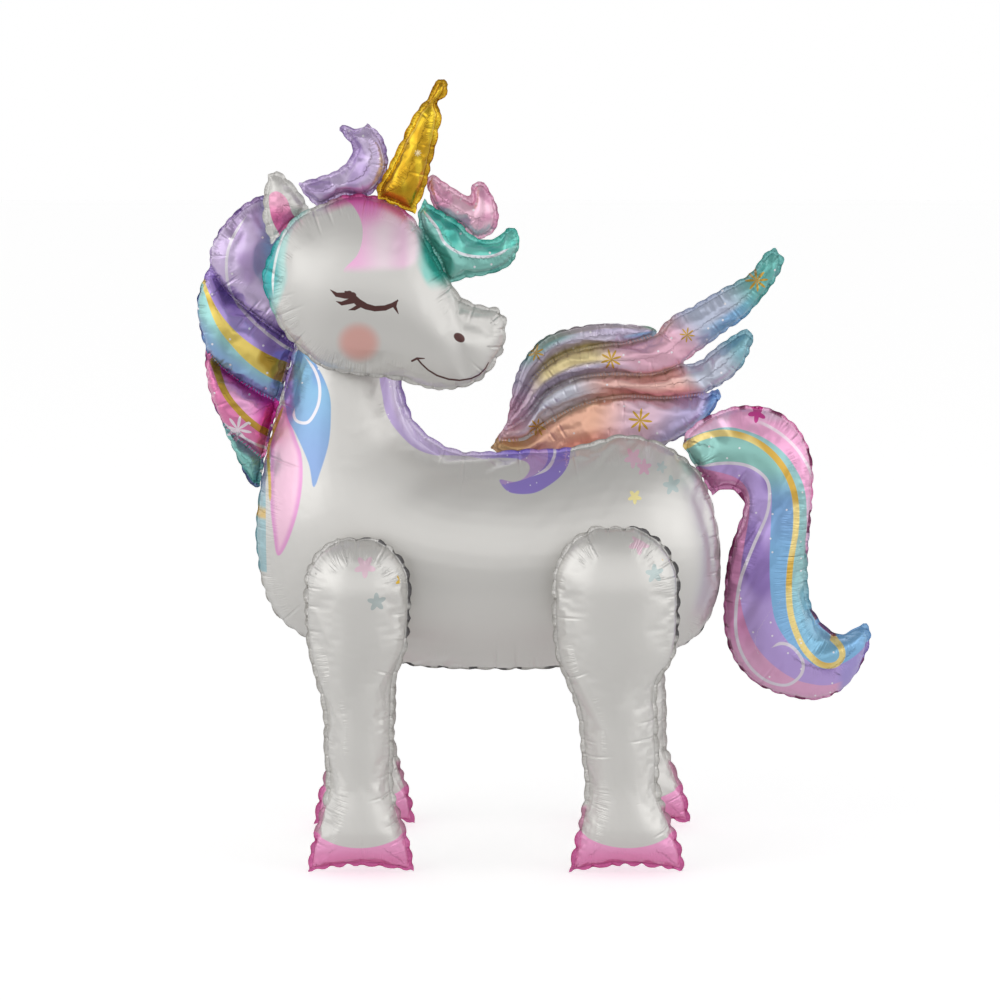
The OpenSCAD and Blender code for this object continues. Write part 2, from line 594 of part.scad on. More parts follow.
module leg_pads() {
    color(film_clear) {
        pads_of_leg(near_legs[0], fore_leg_x, fore_leg_height, fore_leg_top, near);
        pads_of_leg(near_legs[1], hind_leg_x, hind_leg_height, hind_leg_top, near);
        pads_of_leg(far_legs[0], fore_leg_x + fore_leg_far_shift, fore_leg_height, fore_leg_top,
            far);
        pads_of_leg(far_legs[1], hind_leg_x + hind_leg_far_shift, hind_leg_height, hind_leg_top,
            far);
    }
}

module head_near_panel() { color(white) film_panel(head_chamber, near); }
module head_far_panel() { color(white) film_panel(head_chamber, far); }
module head_valve() { color(film_clear) valve_sleeve(head_chamber, 0, valve_long); }
module head_pad() {
    p = on_body(head_seat);
    color(film_clear) pad_between(p, head_plane + top_at(head_chamber[2], p, pad_radius) + film + gap,
        -top_at(body_chamber[1], p, pad_radius) - film - gap, pad_radius);
}

module horn_near_panel() { color(gold) film_panel(horn_chamber, near); }
module horn_far_panel() { color(gold) film_panel(horn_chamber, far); }
module horn_valve() { color(film_clear) valve_sleeve(horn_chamber, 0, valve_short); }
module lilac_forelock_near_panel() { color(lilac) film_panel(lilac_chamber, near); }
module lilac_forelock_far_panel() { color(lilac) film_panel(lilac_chamber, far); }
module lilac_forelock_valve() { color(film_clear) valve_sleeve(lilac_chamber, 0, valve_short); }
module teal_forelock_near_panel() { color(teal) film_panel(teal_chamber, near); }
module teal_forelock_far_panel() { color(teal) film_panel(teal_chamber, far); }
module teal_forelock_valve() { color(film_clear) valve_sleeve(teal_chamber, 0, valve_short); }
module pink_forelock_near_panel() { color(pink) film_panel(pink_chamber, near); }
module pink_forelock_far_panel() { color(pink) film_panel(pink_chamber, far); }
module pink_forelock_valve() { color(film_clear) valve_sleeve(pink_chamber, 0, valve_short); }
module ear_near_panel() { color(white) film_panel(ear_chamber, near); }
module ear_far_panel() { color(white) film_panel(ear_chamber, far); }
module ear_valve() { color(film_clear) valve_sleeve(ear_chamber, 0, valve_short); }
module crest_dots() {
    color(film_clear) {
        seam_dot(root_place(horn_chamber[0][0], 0.5), front_plane, head_plane);
        seam_dot(root_place(ear_chamber[0][0], 0.5), head_plane, back_plane);
        seam_dot(side_place(lilac_chamber[0][0], 1, 4), head_plane, back_plane);
        seam_dot(side_place(teal_chamber[0][0], 1, 4), head_plane, back_plane);
        seam_dot(side_place(pink_chamber[0][0], 1, 5), back_plane, rear_plane);
    }
}

module mane_near_panel() { color(lilac) film_panel(mane_chamber, near); }
module mane_far_panel() { color(lilac) film_panel(mane_chamber, far); }
module mane_valve() { color(film_clear) valve_sleeve(mane_chamber, 1, valve_long); }
module mane_dots() {
    color(film_clear) for (k = [1 : 3]) seam_dot(root_place(mane_lobes[k], 0.4), 0, seam_step);
}

module wing_near_panel() { color(pink) film_panel(wing_chamber, near); }
module wing_far_panel() { color(pink) film_panel(wing_chamber, far); }
module wing_valve() { color(film_clear) valve_sleeve(wing_chamber, 3, valve_long); }
module wing_pads() {
    color(film_clear) for (i = [2 : 4]) {
        p = side_place(wing_lobes[3], 1, i);
        pad_between(p, top_at(body_chamber[2], p, dot_radius) + film + gap / 2,
            wing_plane - film - gap * 2, dot_radius);
    }
}

module tail_near_panel() { color(teal) film_panel(tail_chamber, near); }
module tail_far_panel() { color(teal) film_panel(tail_chamber, far); }
module tail_valve() { color(film_clear) valve_sleeve(tail_chamber, 0, valve_long); }
module tail_dots() {
    color(film_clear) for (t = [0.42, 0.58])
        pad_between(root_place(tail_chamber[0][0], t), film, seam_step - film - free_gap,
            dot_radius);
}

body_near_panel();
body_far_panel();
body_valve();
fore_leg_near_outer_panel();
fore_leg_near_inner_panel();
fore_leg_near_valve();
fore_leg_far_inner_panel();
fore_leg_far_outer_panel();
fore_leg_far_valve();
hind_leg_near_outer_panel();
hind_leg_near_inner_panel();
hind_leg_near_valve();
hind_leg_far_inner_panel();
hind_leg_far_outer_panel();
hind_leg_far_valve();
mane_near_panel();
mane_far_panel();
mane_valve();
head_near_panel();
head_far_panel();
head_valve();
horn_near_panel();
horn_far_panel();
horn_valve();
lilac_forelock_near_panel();
lilac_forelock_far_panel();
lilac_forelock_valve();
pink_forelock_near_panel();
pink_forelock_far_panel();
pink_forelock_valve();
teal_forelock_near_panel();
teal_forelock_far_panel();
teal_forelock_valve();
ear_near_panel();
ear_far_panel();
ear_valve();
wing_near_panel();
wing_far_panel();
wing_valve();
tail_near_panel();
tail_far_panel();
tail_valve();
leg_pads();
head_pad();
mane_dots();
crest_dots();
wing_pads();
tail_dots();
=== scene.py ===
# A large standing foil-balloon unicorn. Each air chamber is cut flat from two film panels,
# blown up as cloth, and given its heat seal, its pinches and its printed film.
import json
import math
import bpy
import numpy as np
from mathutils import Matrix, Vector, noise
from mathutils.bvhtree import BVHTree
from mathutils.geometry import barycentric_transform, delaunay_2d_cdt

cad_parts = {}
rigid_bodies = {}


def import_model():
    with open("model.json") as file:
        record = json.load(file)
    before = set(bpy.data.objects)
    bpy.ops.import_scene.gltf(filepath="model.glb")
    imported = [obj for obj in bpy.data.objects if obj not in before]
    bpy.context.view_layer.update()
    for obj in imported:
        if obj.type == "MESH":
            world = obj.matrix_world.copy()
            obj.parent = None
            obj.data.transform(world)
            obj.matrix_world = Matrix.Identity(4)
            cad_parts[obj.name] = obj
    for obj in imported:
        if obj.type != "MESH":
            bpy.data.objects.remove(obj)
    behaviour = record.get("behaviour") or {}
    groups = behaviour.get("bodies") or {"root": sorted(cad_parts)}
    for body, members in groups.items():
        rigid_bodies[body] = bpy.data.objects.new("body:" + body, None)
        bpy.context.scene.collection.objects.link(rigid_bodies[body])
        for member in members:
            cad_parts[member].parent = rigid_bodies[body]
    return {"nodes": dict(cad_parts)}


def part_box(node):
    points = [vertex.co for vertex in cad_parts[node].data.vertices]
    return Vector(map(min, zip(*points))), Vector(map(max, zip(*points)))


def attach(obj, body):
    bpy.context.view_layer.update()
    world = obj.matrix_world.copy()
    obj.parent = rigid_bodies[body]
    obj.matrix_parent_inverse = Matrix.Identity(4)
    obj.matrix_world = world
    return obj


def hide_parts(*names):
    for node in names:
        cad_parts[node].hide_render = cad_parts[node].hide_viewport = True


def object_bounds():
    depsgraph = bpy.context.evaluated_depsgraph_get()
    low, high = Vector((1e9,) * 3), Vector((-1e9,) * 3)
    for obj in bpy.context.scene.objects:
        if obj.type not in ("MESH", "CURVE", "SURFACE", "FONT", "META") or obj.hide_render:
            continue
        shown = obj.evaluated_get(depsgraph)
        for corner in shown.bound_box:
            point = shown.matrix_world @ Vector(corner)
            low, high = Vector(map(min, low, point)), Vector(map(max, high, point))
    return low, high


for thing in list(bpy.data.objects):
    bpy.data.objects.remove(thing)
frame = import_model()
cad_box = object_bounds()
MM = 0.001

# ---- Measures of the film ----------------------------------------------------------------

SEAM = 7 * MM            # width of the heat seal round a chamber
LOBE_SEAM = 4.5 * MM     # width of the seal between two lobes
SEAL_HALF = 0.35 * MM    # half the thickness of the two films sealed together
PARTING = 0.04           # share of a lobe over which the seal widens once it stands free
MOST_SEALED = 0.3        # share of a lobe's width that the seal on one side may take up
MOST_CUT = 0.12          # and of its length, the seal at one end
PITCH = 7 * MM           # size of the triangles of the film
EDGE = 4.6 * MM          # spacing of the points along a seal
CLEARANCE = 0.6 * PITCH  # least distance from the seal to a point within it
ONE_POINT = 0.05 * MM    # points of an outline that are closer than this are one
ON_FILM = 0.2 * MM       # how far off its pattern a point still belongs to it
RIBS, ARCS = 140, 24     # fine stations along and across a lobe
FLOW_RIBS, FLOW_ARCS = 70, 6     # coarser ones, for the UV map
SCALLOP = 0.33           # depth of the scallops of the edge, as a share of their half length
SEAL_DRAW = 0.8          # share of it that the seal line follows
PINCH_REACH = 11 * MM    # how far from a pinch a seal line may run and still be drawn in
PINCH_APART = 7 * MM     # least distance between two pinches on one line
CREASE_ZONE = 6.0        # millimetres to each side of a pinch that belong to its crease
CREASE_WIDTH = 3.2       # half the width of a crease, in millimetres
SEAL_LIFT = 1.2 * MM     # how far a pinch lifts the seal line out of its plane
EDGE_LIFT = 2.2 * MM     # and the outer edge
RIPPLE = 1.6 * MM        # waviness of the outer edge
RIPPLE_SIZE = 11 * MM    # and the size of its waves
RIPPLE_SHIFT = 7.3       # sets the waves of two chambers apart
HOLLOW_FADE = 70 * MM    # how far from a tip the arch of its edge is felt
REACH = 35 * MM          # how far from a seal the film has spare width
KEPT_FAR = 0.25          # share of the creases kept in the middle of a lobe
MOST_MOVED = 9 * MM      # the furthest that a point of the film may move
BLOW_STEPS = 12          # steps of the cloth simulation
TINY = 1e-9


# ---- Lines in the flat -------------------------------------------------------------------

def along(points, share):
    """A smooth line through the points, at shares from 0 to 1 along it."""
    p = np.asarray(points, float)
    n = len(p) - 1
    k = np.clip(np.floor(share * n).astype(int), 0, n - 1)
    t = (share * n - k)[:, None]
    a, b, c, d = p[np.maximum(k - 1, 0)], p[k], p[k + 1], p[np.minimum(k + 2, n)]
    return (b + (c - a) * t / 2 + (2 * a - 5 * b + 4 * c - d) * t ** 2 / 2
            + (3 * b - a - 3 * c + d) * t ** 3 / 2)


def lengths(line):
    """Distance along a line, at each of its points."""
    steps = np.linalg.norm(np.diff(line, axis=0), axis=1)
    return np.concatenate([[0], np.cumsum(steps)])


def at(line, index):
    """Points of a line at fractional indices."""
    index = np.asarray(index, float)
    k = np.arange(len(line))
    return np.stack([np.interp(index, k, line[:, i]) for i in range(line.shape[1])], 1)


def closed(loop):
    """A loop with its first point once more at its end."""
    return np.vstack([loop, loop[:1]])


def unit(ways):
    """The same directions at length 1."""
    return ways / np.maximum(np.linalg.norm(ways, axis=-1), TINY)[..., None]


def in_loop(points, loop):
    """Which points lie inside a closed loop."""
    x, y = points[:, 0], points[:, 1]
    inside = np.zeros(len(points), bool)
    for (x1, y1), (x2, y2) in zip(loop, np.roll(loop, -1, 0)):
        if y1 == y2:
            continue
        crossing = (x2 - x1) * (y - y1) / (y2 - y1) + x1
        inside ^= ((y1 > y) != (y2 > y)) & (x < crossing)
    return inside


def area_of(loop):
    """The area inside a loop, negative where it runs clockwise."""
    nxt = np.roll(loop, -1, 0)
    return 0.5 * np.sum(loop[:, 0] * nxt[:, 1] - nxt[:, 0] * loop[:, 1])


def gap_to(points, goals):
    """How far each point is from the nearest of the goals."""
    least = np.full(len(points), 1.0)
    for goal in goals:
        least = np.minimum(least, np.linalg.norm(points - goal, axis=1))
    return least


def beside(points, line):
    """How far each point is from a line of straight stretches, with the number of the
    nearest stretch, the share along that, and the side: 1 to the left, -1 to the right."""
    least, side = np.full(len(points), 1e9), np.full(len(points), -1.0)
    stretch, share = np.zeros(len(points), int), np.zeros(len(points))
    for k, (a, b) in enumerate(zip(line, line[1:])):
        way, away = b - a, points - a
        on = np.clip(away @ way / max(way @ way, 1e-12), 0, 1)
        far = np.hypot(away[:, 0] - on * way[0], away[:, 1] - on * way[1])
        closer = far < least - 1e-9
        least, stretch = np.where(closer, far, least), np.where(closer, k, stretch)
        share = np.where(closer, on, share)
        side = np.where(closer, np.sign(way[0] * away[:, 1] - way[1] * away[:, 0]), side)
    return least, stretch, share, side


# ---- Meshes --------------------------------------------------------------------------------

def make_mesh(name, points, faces):
    mesh = bpy.data.meshes.new(name)
    mesh.from_pydata(points.tolist(), [], faces)
    mesh.update()
    thing = bpy.data.objects.new(name, mesh)
    bpy.context.scene.collection.objects.link(thing)
    return thing


def places(mesh):
    """The places of a mesh's points, one to a row."""
    co = np.zeros(len(mesh.vertices) * 3)
    mesh.vertices.foreach_get("co", co)
    return co.reshape(-1, 3)


def side_view(piece):
    return places(piece.data)[:, [0, 2]]


def give(piece, name, *values):
    """Gives every point of a piece three numbers, under a name that its finish reads."""
    old = piece.data.attributes.get(name)
    mark = old or piece.data.attributes.new(name, "FLOAT_VECTOR", "POINT")
    mark.data.foreach_set("vector", np.stack(values, 1).astype(float).ravel())


def grid_faces(rows, columns):
    """Triangles over a grid of points, row by row."""
    step = columns + 1
    return [(a, b, c) for i in range(rows) for a in range(i * step, i * step + columns)
            for b, c in ((a + 1, a + 1 + step), (a + 1 + step, a + step))]


def fill_in(points, loops):
    """Triangles between points in the flat, which keep to loops of the given lengths."""
    edges, first = [], 0
    for count in loops:
        edges += [(first + i, first + (i + 1) % count) for i in range(count)]
        first += count
    made = delaunay_2d_cdt([Vector(p) for p in points], edges, [], 1, 1e-7)
    origin = [o[0] if o else -1 for o in made[3]]
    faces = [tuple(origin[c] for c in f) for f in made[2]]
    return [f for f in faces if -1 not in f and len(set(f)) == 3]


def outward(faces, points, side):
    """The faces, turned so that they look to one side of the seam plane."""
    f = np.array(faces)
    a, b, c = (points[f[:, i]] for i in range(3))
    facing = np.cross(b - a, c - a)[:, 1].sum() * side
    return [tuple(int(i) for i in t) for t in (f if facing > 0 else f[:, ::-1])]


# ---- Lobes of a chamber ------------------------------------------------------------------

STATIONS = (1 - np.cos(np.pi * np.linspace(0, 1, RIBS + 1))) / 2


class Lobe:
    """One bulge of a chamber: its two edges, from root to tip, the share of each that it has
    in common with the next lobe, and how deep its tip is hollowed out."""

    def __init__(self, left, right, share_left=0.0, share_right=0.0, hollow=0.0):
        self.edges = [left, right]
        self.shares = [share_left, share_right]
        self.hollow = hollow

    def place(self, low, scale, origin):
        self.edges = [(e - origin) * scale + low for e in self.edges]

    def settle(self):
        """Works out the seal line, inside the edge by the width of the seal."""
        n = len(self.edges[0]) - 1
        u = np.linspace(0, 1, n + 1)
        sides = []
        for k in (0, 1):
            edge, other = self.edges[k], self.edges[1 - k]
            width = np.linalg.norm(other - edge, axis=1)
            across = unit(other - edge)
            way = unit(np.gradient(edge, axis=0))
            slant = np.maximum(0.5, np.abs(way[:, 0] * across[:, 1] - way[:, 1] * across[:, 0]))
            share = self.shares[k]
            free = np.clip((u - share) / PARTING, 0, 1) if share else 1.0
            band = (LOBE_SEAM / 2 + (SEAM - LOBE_SEAM / 2) * free) / slant
            sealed = edge + across * np.minimum(band, MOST_SEALED * width)[:, None]
            run = lengths(edge)
            cut = min(SEAM, MOST_CUT * run[-1])
            first, last = np.interp([cut, run[-1] - cut], run, np.arange(n + 1))
            sides.append(at(sealed, first + (last - first) * STATIONS))
        self.seals = sides
        self.loop = np.concatenate([sides[0][:-1], self.across(-1)[:-1],
                                    sides[1][::-1][:-1], self.across(0)[::-1][:-1]])

    def bow(self, turn):
        """How far the tip is hollowed out, towards the root, at shares across it."""
        way = sum(edge[-8] - edge[-1] for edge in self.edges)
        return 4 * self.hollow * (turn * (1 - turn))[:, None] * unit(way)

    def tip(self):
        """The outer edge across the tip."""
        turn = np.linspace(0, 1, ARCS + 1)[1:-1]
        a, b = self.edges[0][-1], self.edges[1][-1]
        return a + (b - a) * turn[:, None] + self.bow(turn)

    def across(self, k):
        """The seal line across the root, at 0, or the tip, at -1."""
        turn = (1 - np.cos(np.pi * np.linspace(0, 1, ARCS + 1))) / 2
        a, b = self.seals[0][k], self.seals[1][k]
        return a + (b - a) * turn[:, None] + (self.bow(turn) if k else 0.0)

    def skin(self, bulge, plump):
        """The blown-up film over the seam plane, and the flat pattern it is cut from."""
        a, b = self.seals
        width = np.linalg.norm(b - a, axis=1)
        full = width + 2 * SEAM
        spine = (a + b) / 2
        run = lengths(spine)
        crest = bulge * plump * full / (bulge ** 4 + (plump * full) ** 4) ** 0.25
        for from_end in (run, run[-1] - run):
            crest = crest * np.sqrt(1 - (1 - np.minimum(1, 2 * from_end / full)) ** 2)
        angle = np.pi * np.linspace(0, 1, ARCS + 1)
        turn, rise = (1 - np.cos(angle)) / 2, np.sin(angle)
        flat = a[:, None] + (b - a)[:, None] * turn[None, :, None]
        fade = np.clip(1 - (run[-1] - run) / HOLLOW_FADE, 0, 1) ** 2
        flat = flat + fade[:, None, None] * self.bow(turn)[None]
        height = crest[:, None] * rise[None]
        # the pattern is as long and as wide as the film is over its bulge
        steps = np.hypot(np.diff(turn)[None] * width[:, None], np.diff(height, axis=1))
        arc = np.concatenate([np.zeros((RIBS + 1, 1)), np.cumsum(steps, 1)], 1)
        way = np.diff(spine, axis=0)
        size = np.maximum(np.linalg.norm(way, axis=1), TINY)
        steps = way * (np.hypot(size, np.diff(crest)) / size)[:, None]
        cut_spine = np.concatenate([[[0, 0]], np.cumsum(steps, 0)])
        cut_spine += spine[RIBS // 2] - cut_spine[RIBS // 2]
        pattern = cut_spine[:, None] + unit(b - a)[:, None] * (arc - arc[:, -1:] / 2)[..., None]
        return np.dstack([flat, height]), pattern


def rim(grid):
    """The border of a grid of points, in the order of a lobe's loop."""
    return np.concatenate([grid[:-1, 0], grid[-1, :-1], grid[::-1][:-1, -1], grid[0, ::-1][:-1]])


def plain(rows, hollow=0.0):
    """A chamber of one lobe, from rows of a left and a right point."""
    share = (np.linspace(0, 1, RIBS + 1) + STATIONS) / 2
    left, right = ([r[k] for r in rows] for k in (0, 1))
    return [Lobe(along(left, share) * MM, along(right, share) * MM, hollow=hollow * MM)]


def edge_of(inner, outer, share):
    """An edge that follows inner up to a share of its stations, and then outer to the tip."""
    u = np.linspace(0, 1, RIBS + 1)
    first = along(inner, np.clip(u / share, 0, 1))
    rest = along(outer, np.clip((u - share) / (1 - share), 0, 1))
    return np.where((u <= share)[:, None], first, rest) * MM


def fan(lines, tips, shares):
    """Lobes side by side. Neighbours have a line in common up to a share of their length,
    and each then goes on to a tip of its own, given by its left and its right edge."""
    last = len(tips) - 1
    return [Lobe(edge_of(lines[k], left, share), edge_of(lines[k + 1], right, share),
                 share if k else 0.0, share if k < last else 0.0)
            for k, ((left, right), share) in enumerate(zip(tips, shares))]


def outline_of(lobes):
    """The outer edge of a chamber, once round."""
    parts = []
    for k, lobe in enumerate(lobes):
        start = int(round(lobe.shares[0] * RIBS)) if k else 0
        parts.append(lobe.edges[0][start:])
        if lobe.hollow:
            parts.append(lobe.tip())
        parts.append(lobe.edges[1][::-1][:RIBS + 1 - int(round(lobe.shares[1] * RIBS))])
    parts += [lobe.edges[0][:1] for lobe in lobes[:0:-1]]
    loop = np.concatenate(parts)
    keep = np.linalg.norm(loop - np.roll(loop, 1, 0), axis=1) > ONE_POINT
    return loop[keep]


# ---- Pinches: where the seal is drawn in ---------------------------------------------------

class Pinches:
    """Places round the seal where the film gathers, a couple of centimetres apart. Between
    them the edge swells out in scallops, and from each of them a crease runs inwards."""

    def __init__(self, seed, lines, low, high, deeper):
        draw = np.random.default_rng(seed)
        spots, ways = [], []
        for line in lines:
            run = lengths(line)
            d = draw.uniform(0.3, 0.7) * low
            while d < run[-1] - 0.3 * low:
                here, on = at(line, np.interp([d, d + 2 * MM], run, np.arange(len(line))))
                spots.append(here)
                ways.append(unit(on - here))
                d += draw.uniform(low, high)
        self.spots, self.ways = np.array(spots), np.array(ways)
        self.half = (low + high) / 4
        self.depths = draw.uniform(0.35, 1.0, len(spots))
        self.sides = draw.choice([-1.0, 1.0], len(spots))
        self.creases = (0.35 + draw.uniform(0.0, 1.0, len(spots)) ** 4 * 1.9) * high
        for x, z, reach in deeper:
            near = np.linalg.norm(self.spots - np.array([x, z]) * MM, axis=1) < reach * MM
            self.depths[near] = 0.4 + 1.3 * self.depths[near]

    def split(self, loop):
        """Fractional indices of points along a loop, one at each pinch and evenly between."""
        ring = closed(loop)
        run = lengths(ring)
        gaps = [np.linalg.norm(loop - p, axis=1) for p in self.spots]
        kept = []
        for mark in sorted(run[int(np.argmin(g))] for g in gaps if g.min() < PINCH_REACH):
            if not kept or mark - kept[-1] > PINCH_APART:
                kept.append(mark)
        kept = kept or [0.0]
        stops = kept + [kept[0] + run[-1]]
        spots = []
        for a, b in zip(stops, stops[1:]):
            n = max(2, int(round((b - a) / EDGE)))
            spots += list(a + (b - a) * np.arange(n) / n)
        return np.interp(np.mod(spots, run[-1]), run, np.arange(len(ring)))

    def draw_in(self, points, share):
        """Points of a loop, drawn in towards its inside at the pinches, and how far each of
        them is lifted out of the seam plane, from -1 to 1."""
        way = unit(np.roll(points, -1, 0) - np.roll(points, 1, 0))
        inwards = np.stack([-way[:, 1], way[:, 0]], 1) * np.sign(area_of(points))
        gap = np.linalg.norm(points[:, None] - self.spots[None], axis=2)
        near = np.argmin(gap, axis=1)
        pull = np.clip(1 - np.min(gap, axis=1) / self.half, 0, 1) ** 2 * self.depths[near]
        depth = share * SCALLOP * self.half
        return points + inwards * (depth * pull)[:, None], pull * self.sides[near]

    def mark(self, piece):
        """Gives every point its distance from the line of the nearest crease in millimetres,
        how near it is to the start of that crease, from 1 down, and a 1 if it is close."""
        v = side_view(piece)
        least, near = np.full(len(v), 1e9), np.zeros(len(v), int)
        for k, spot in enumerate(self.spots):
            gap = np.hypot(*(v - spot).T)
            near = np.where(gap < least, k, near)
            least = np.minimum(least, gap)
        aside = ((v - self.spots[near]) * self.ways[near]).sum(1) / MM
        give(piece, "crease", aside, 1 - least / self.creases[near],
             np.abs(aside) < CREASE_ZONE)


# ---- Film ----------------------------------------------------------------------------------

def lattice(low, high):
    """Points of a triangular lattice over a rectangle."""
    row = PITCH * math.sqrt(3) / 2
    rows = np.arange(low[1], high[1], row)
    return np.array([(x + (k % 2) * PITCH / 2, y) for k, y in enumerate(rows)
                     for x in np.arange(low[0], high[0], PITCH)])


def cut_film(skin, pattern, border_index):
    """Cuts one lobe's film out of its pattern in even triangles. Returns the places of its
    points as blown up, the border first, their places in the pattern, and the triangles."""
    border = at(closed(rim(skin)), border_index)
    border_cut = at(closed(rim(pattern)), border_index)
    flat = [Vector((p[0], p[1], 0)) for p in pattern.reshape(-1, 2)]
    solid = [Vector(p) for p in skin.reshape(-1, 3)]
    tris = grid_faces(pattern.shape[0] - 1, pattern.shape[1] - 1)
    tree = BVHTree.FromPolygons(flat, tris, all_triangles=True)
    inner = lattice(border_cut.min(0), border_cut.max(0))
    inner = inner[in_loop(inner, border_cut)]
    inner = inner[gap_to(inner, border_cut) > CLEARANCE]
    shape_in, cut_in = [], []
    for p in inner:
        spot, _, face, away = tree.find_nearest(Vector((p[0], p[1], 0)))
        if away < ON_FILM:
            t = tris[face]
            shape_in.append(barycentric_transform(spot, *(flat[c] for c in t),
                                                  *(solid[c] for c in t)))
            cut_in.append(p)
    points = np.vstack([border, np.array(shape_in).reshape(-1, 3)])
    cuts = np.vstack([border_cut, np.array(cut_in).reshape(-1, 2)])
    return points, cuts, fill_in(cuts, [len(border)])


def seal_strip(outline, loops):
    """Triangles of the flat seal between the outer edge and the seal lines of the lobes."""
    points = np.vstack([outline] + loops)
    faces = np.array(fill_in(points, [len(loop) for loop in [outline] + loops]))
    centre = points[faces].mean(1)
    keep = np.ones(len(faces), bool)
    for loop in loops:
        keep &= ~in_loop(centre, loop)
    return [tuple(int(c) for c in f) for f in faces[keep]]


def blow_up(points, slack, faces, pinned):
    """Blows the film up as cloth, held along its seals. slack is how much film there is to
    spare at each point, as a share of its size."""
    film = make_mesh("film", points, faces)
    seal = film.vertex_groups.new(name="seal")
    seal.add([int(i) for i in pinned], 1.0, "ADD")
    taut = film.vertex_groups.new(name="taut")
    most = float(slack.max())
    for i, share in enumerate(1 - slack / most):
        taut.add([i], float(share), "ADD")
    cloth = film.modifiers.new("cloth", "CLOTH")
    s = cloth.settings
    s.quality = 5
    s.mass = 0.15
    s.tension_stiffness = s.compression_stiffness = 40
    s.shear_stiffness = 20
    s.bending_stiffness = 0.3
    s.tension_damping = s.compression_damping = 8
    s.bending_damping = 0.5
    s.air_damping = 2
    s.use_pressure = True
    s.uniform_pressure_force = 15
    s.effector_weights.gravity = 0
    s.vertex_group_mass = "seal"
    s.vertex_group_shrink = "taut"
    s.shrink_min, s.shrink_max = -most, 0.0
    cloth.collision_settings.use_collision = False
    cloth.collision_settings.use_self_collision = False
    cloth.point_cache.frame_start, cloth.point_cache.frame_end = 1, BLOW_STEPS
    for step in range(1, BLOW_STEPS + 1):
        bpy.context.scene.frame_set(step)
    blown = places(film.evaluated_get(bpy.context.evaluated_depsgraph_get()).data)
    bpy.data.objects.remove(film)
    return blown


class Sheet:
    """One panel of one lobe, open and held along its seal."""

    def __init__(self, lobe, border, side, bulge, plump, pinches):
        skin, pattern = lobe.skin(bulge, plump)
        self.side, self.held = side, len(border)
        self.points, cuts, self.faces = cut_film(skin, pattern, border)
        self.seal, self.lift = pinches.draw_in(self.points[:self.held, :2], SEAL_DRAW)
        self.from_seal = gap_to(cuts, cuts[:self.held])

    def stand(self, plane, rise):
        """The places of its points, on its side of the seam plane."""
        x, z = self.points[:, 0].copy(), self.points[:, 1].copy()
        y = plane + self.side * self.points[:, 2] * rise
        x[:self.held], z[:self.held] = self.seal.T
        y[:self.held] = plane + self.lift * SEAL_LIFT
        return np.stack([x, y, z], 1)


def fit(lobes, low, high):
    """Fits the lobes into a box, seen from the side. Returns their outer edge there."""
    outline = outline_of(lobes)
    start = outline.min(0)
    scale = (high - low) / (outline.max(0) - start)
    for lobe in lobes:
        lobe.place(low, scale, start)
        lobe.settle()
    return outline_of(lobes)


def seal_up(film, faces, borders, edge, heights, strip):
    """Adds the flat seal to the faces of the film, between the borders of its panels and the
    outer edge. Returns all points, and the outer rims of the two sides."""
    verts, rims, count = [film], [], len(film)
    for side in (-1, 1):
        rims.append(range(count, count + len(edge)))
        count += len(edge)
        verts.append(np.stack([edge[:, 0], heights + side * SEAL_HALF, edge[:, 1]], 1))
        index = list(rims[-1]) + [i for border, s in borders if s == side for i in border]
        faces += outward([tuple(index[i] for i in f) for f in strip], np.vstack(verts), side)
    verts = np.vstack(verts)
    for border, side in borders:
        verts[border, 1] += side * SEAL_HALF
    near, far = rims
    turned = -1 if area_of(edge) > 0 else 1
    for i in range(len(edge)):
        j = (i + 1) % len(edge)
        faces.append((near[i], far[i], far[j], near[j])[::turned])
    return verts, rims


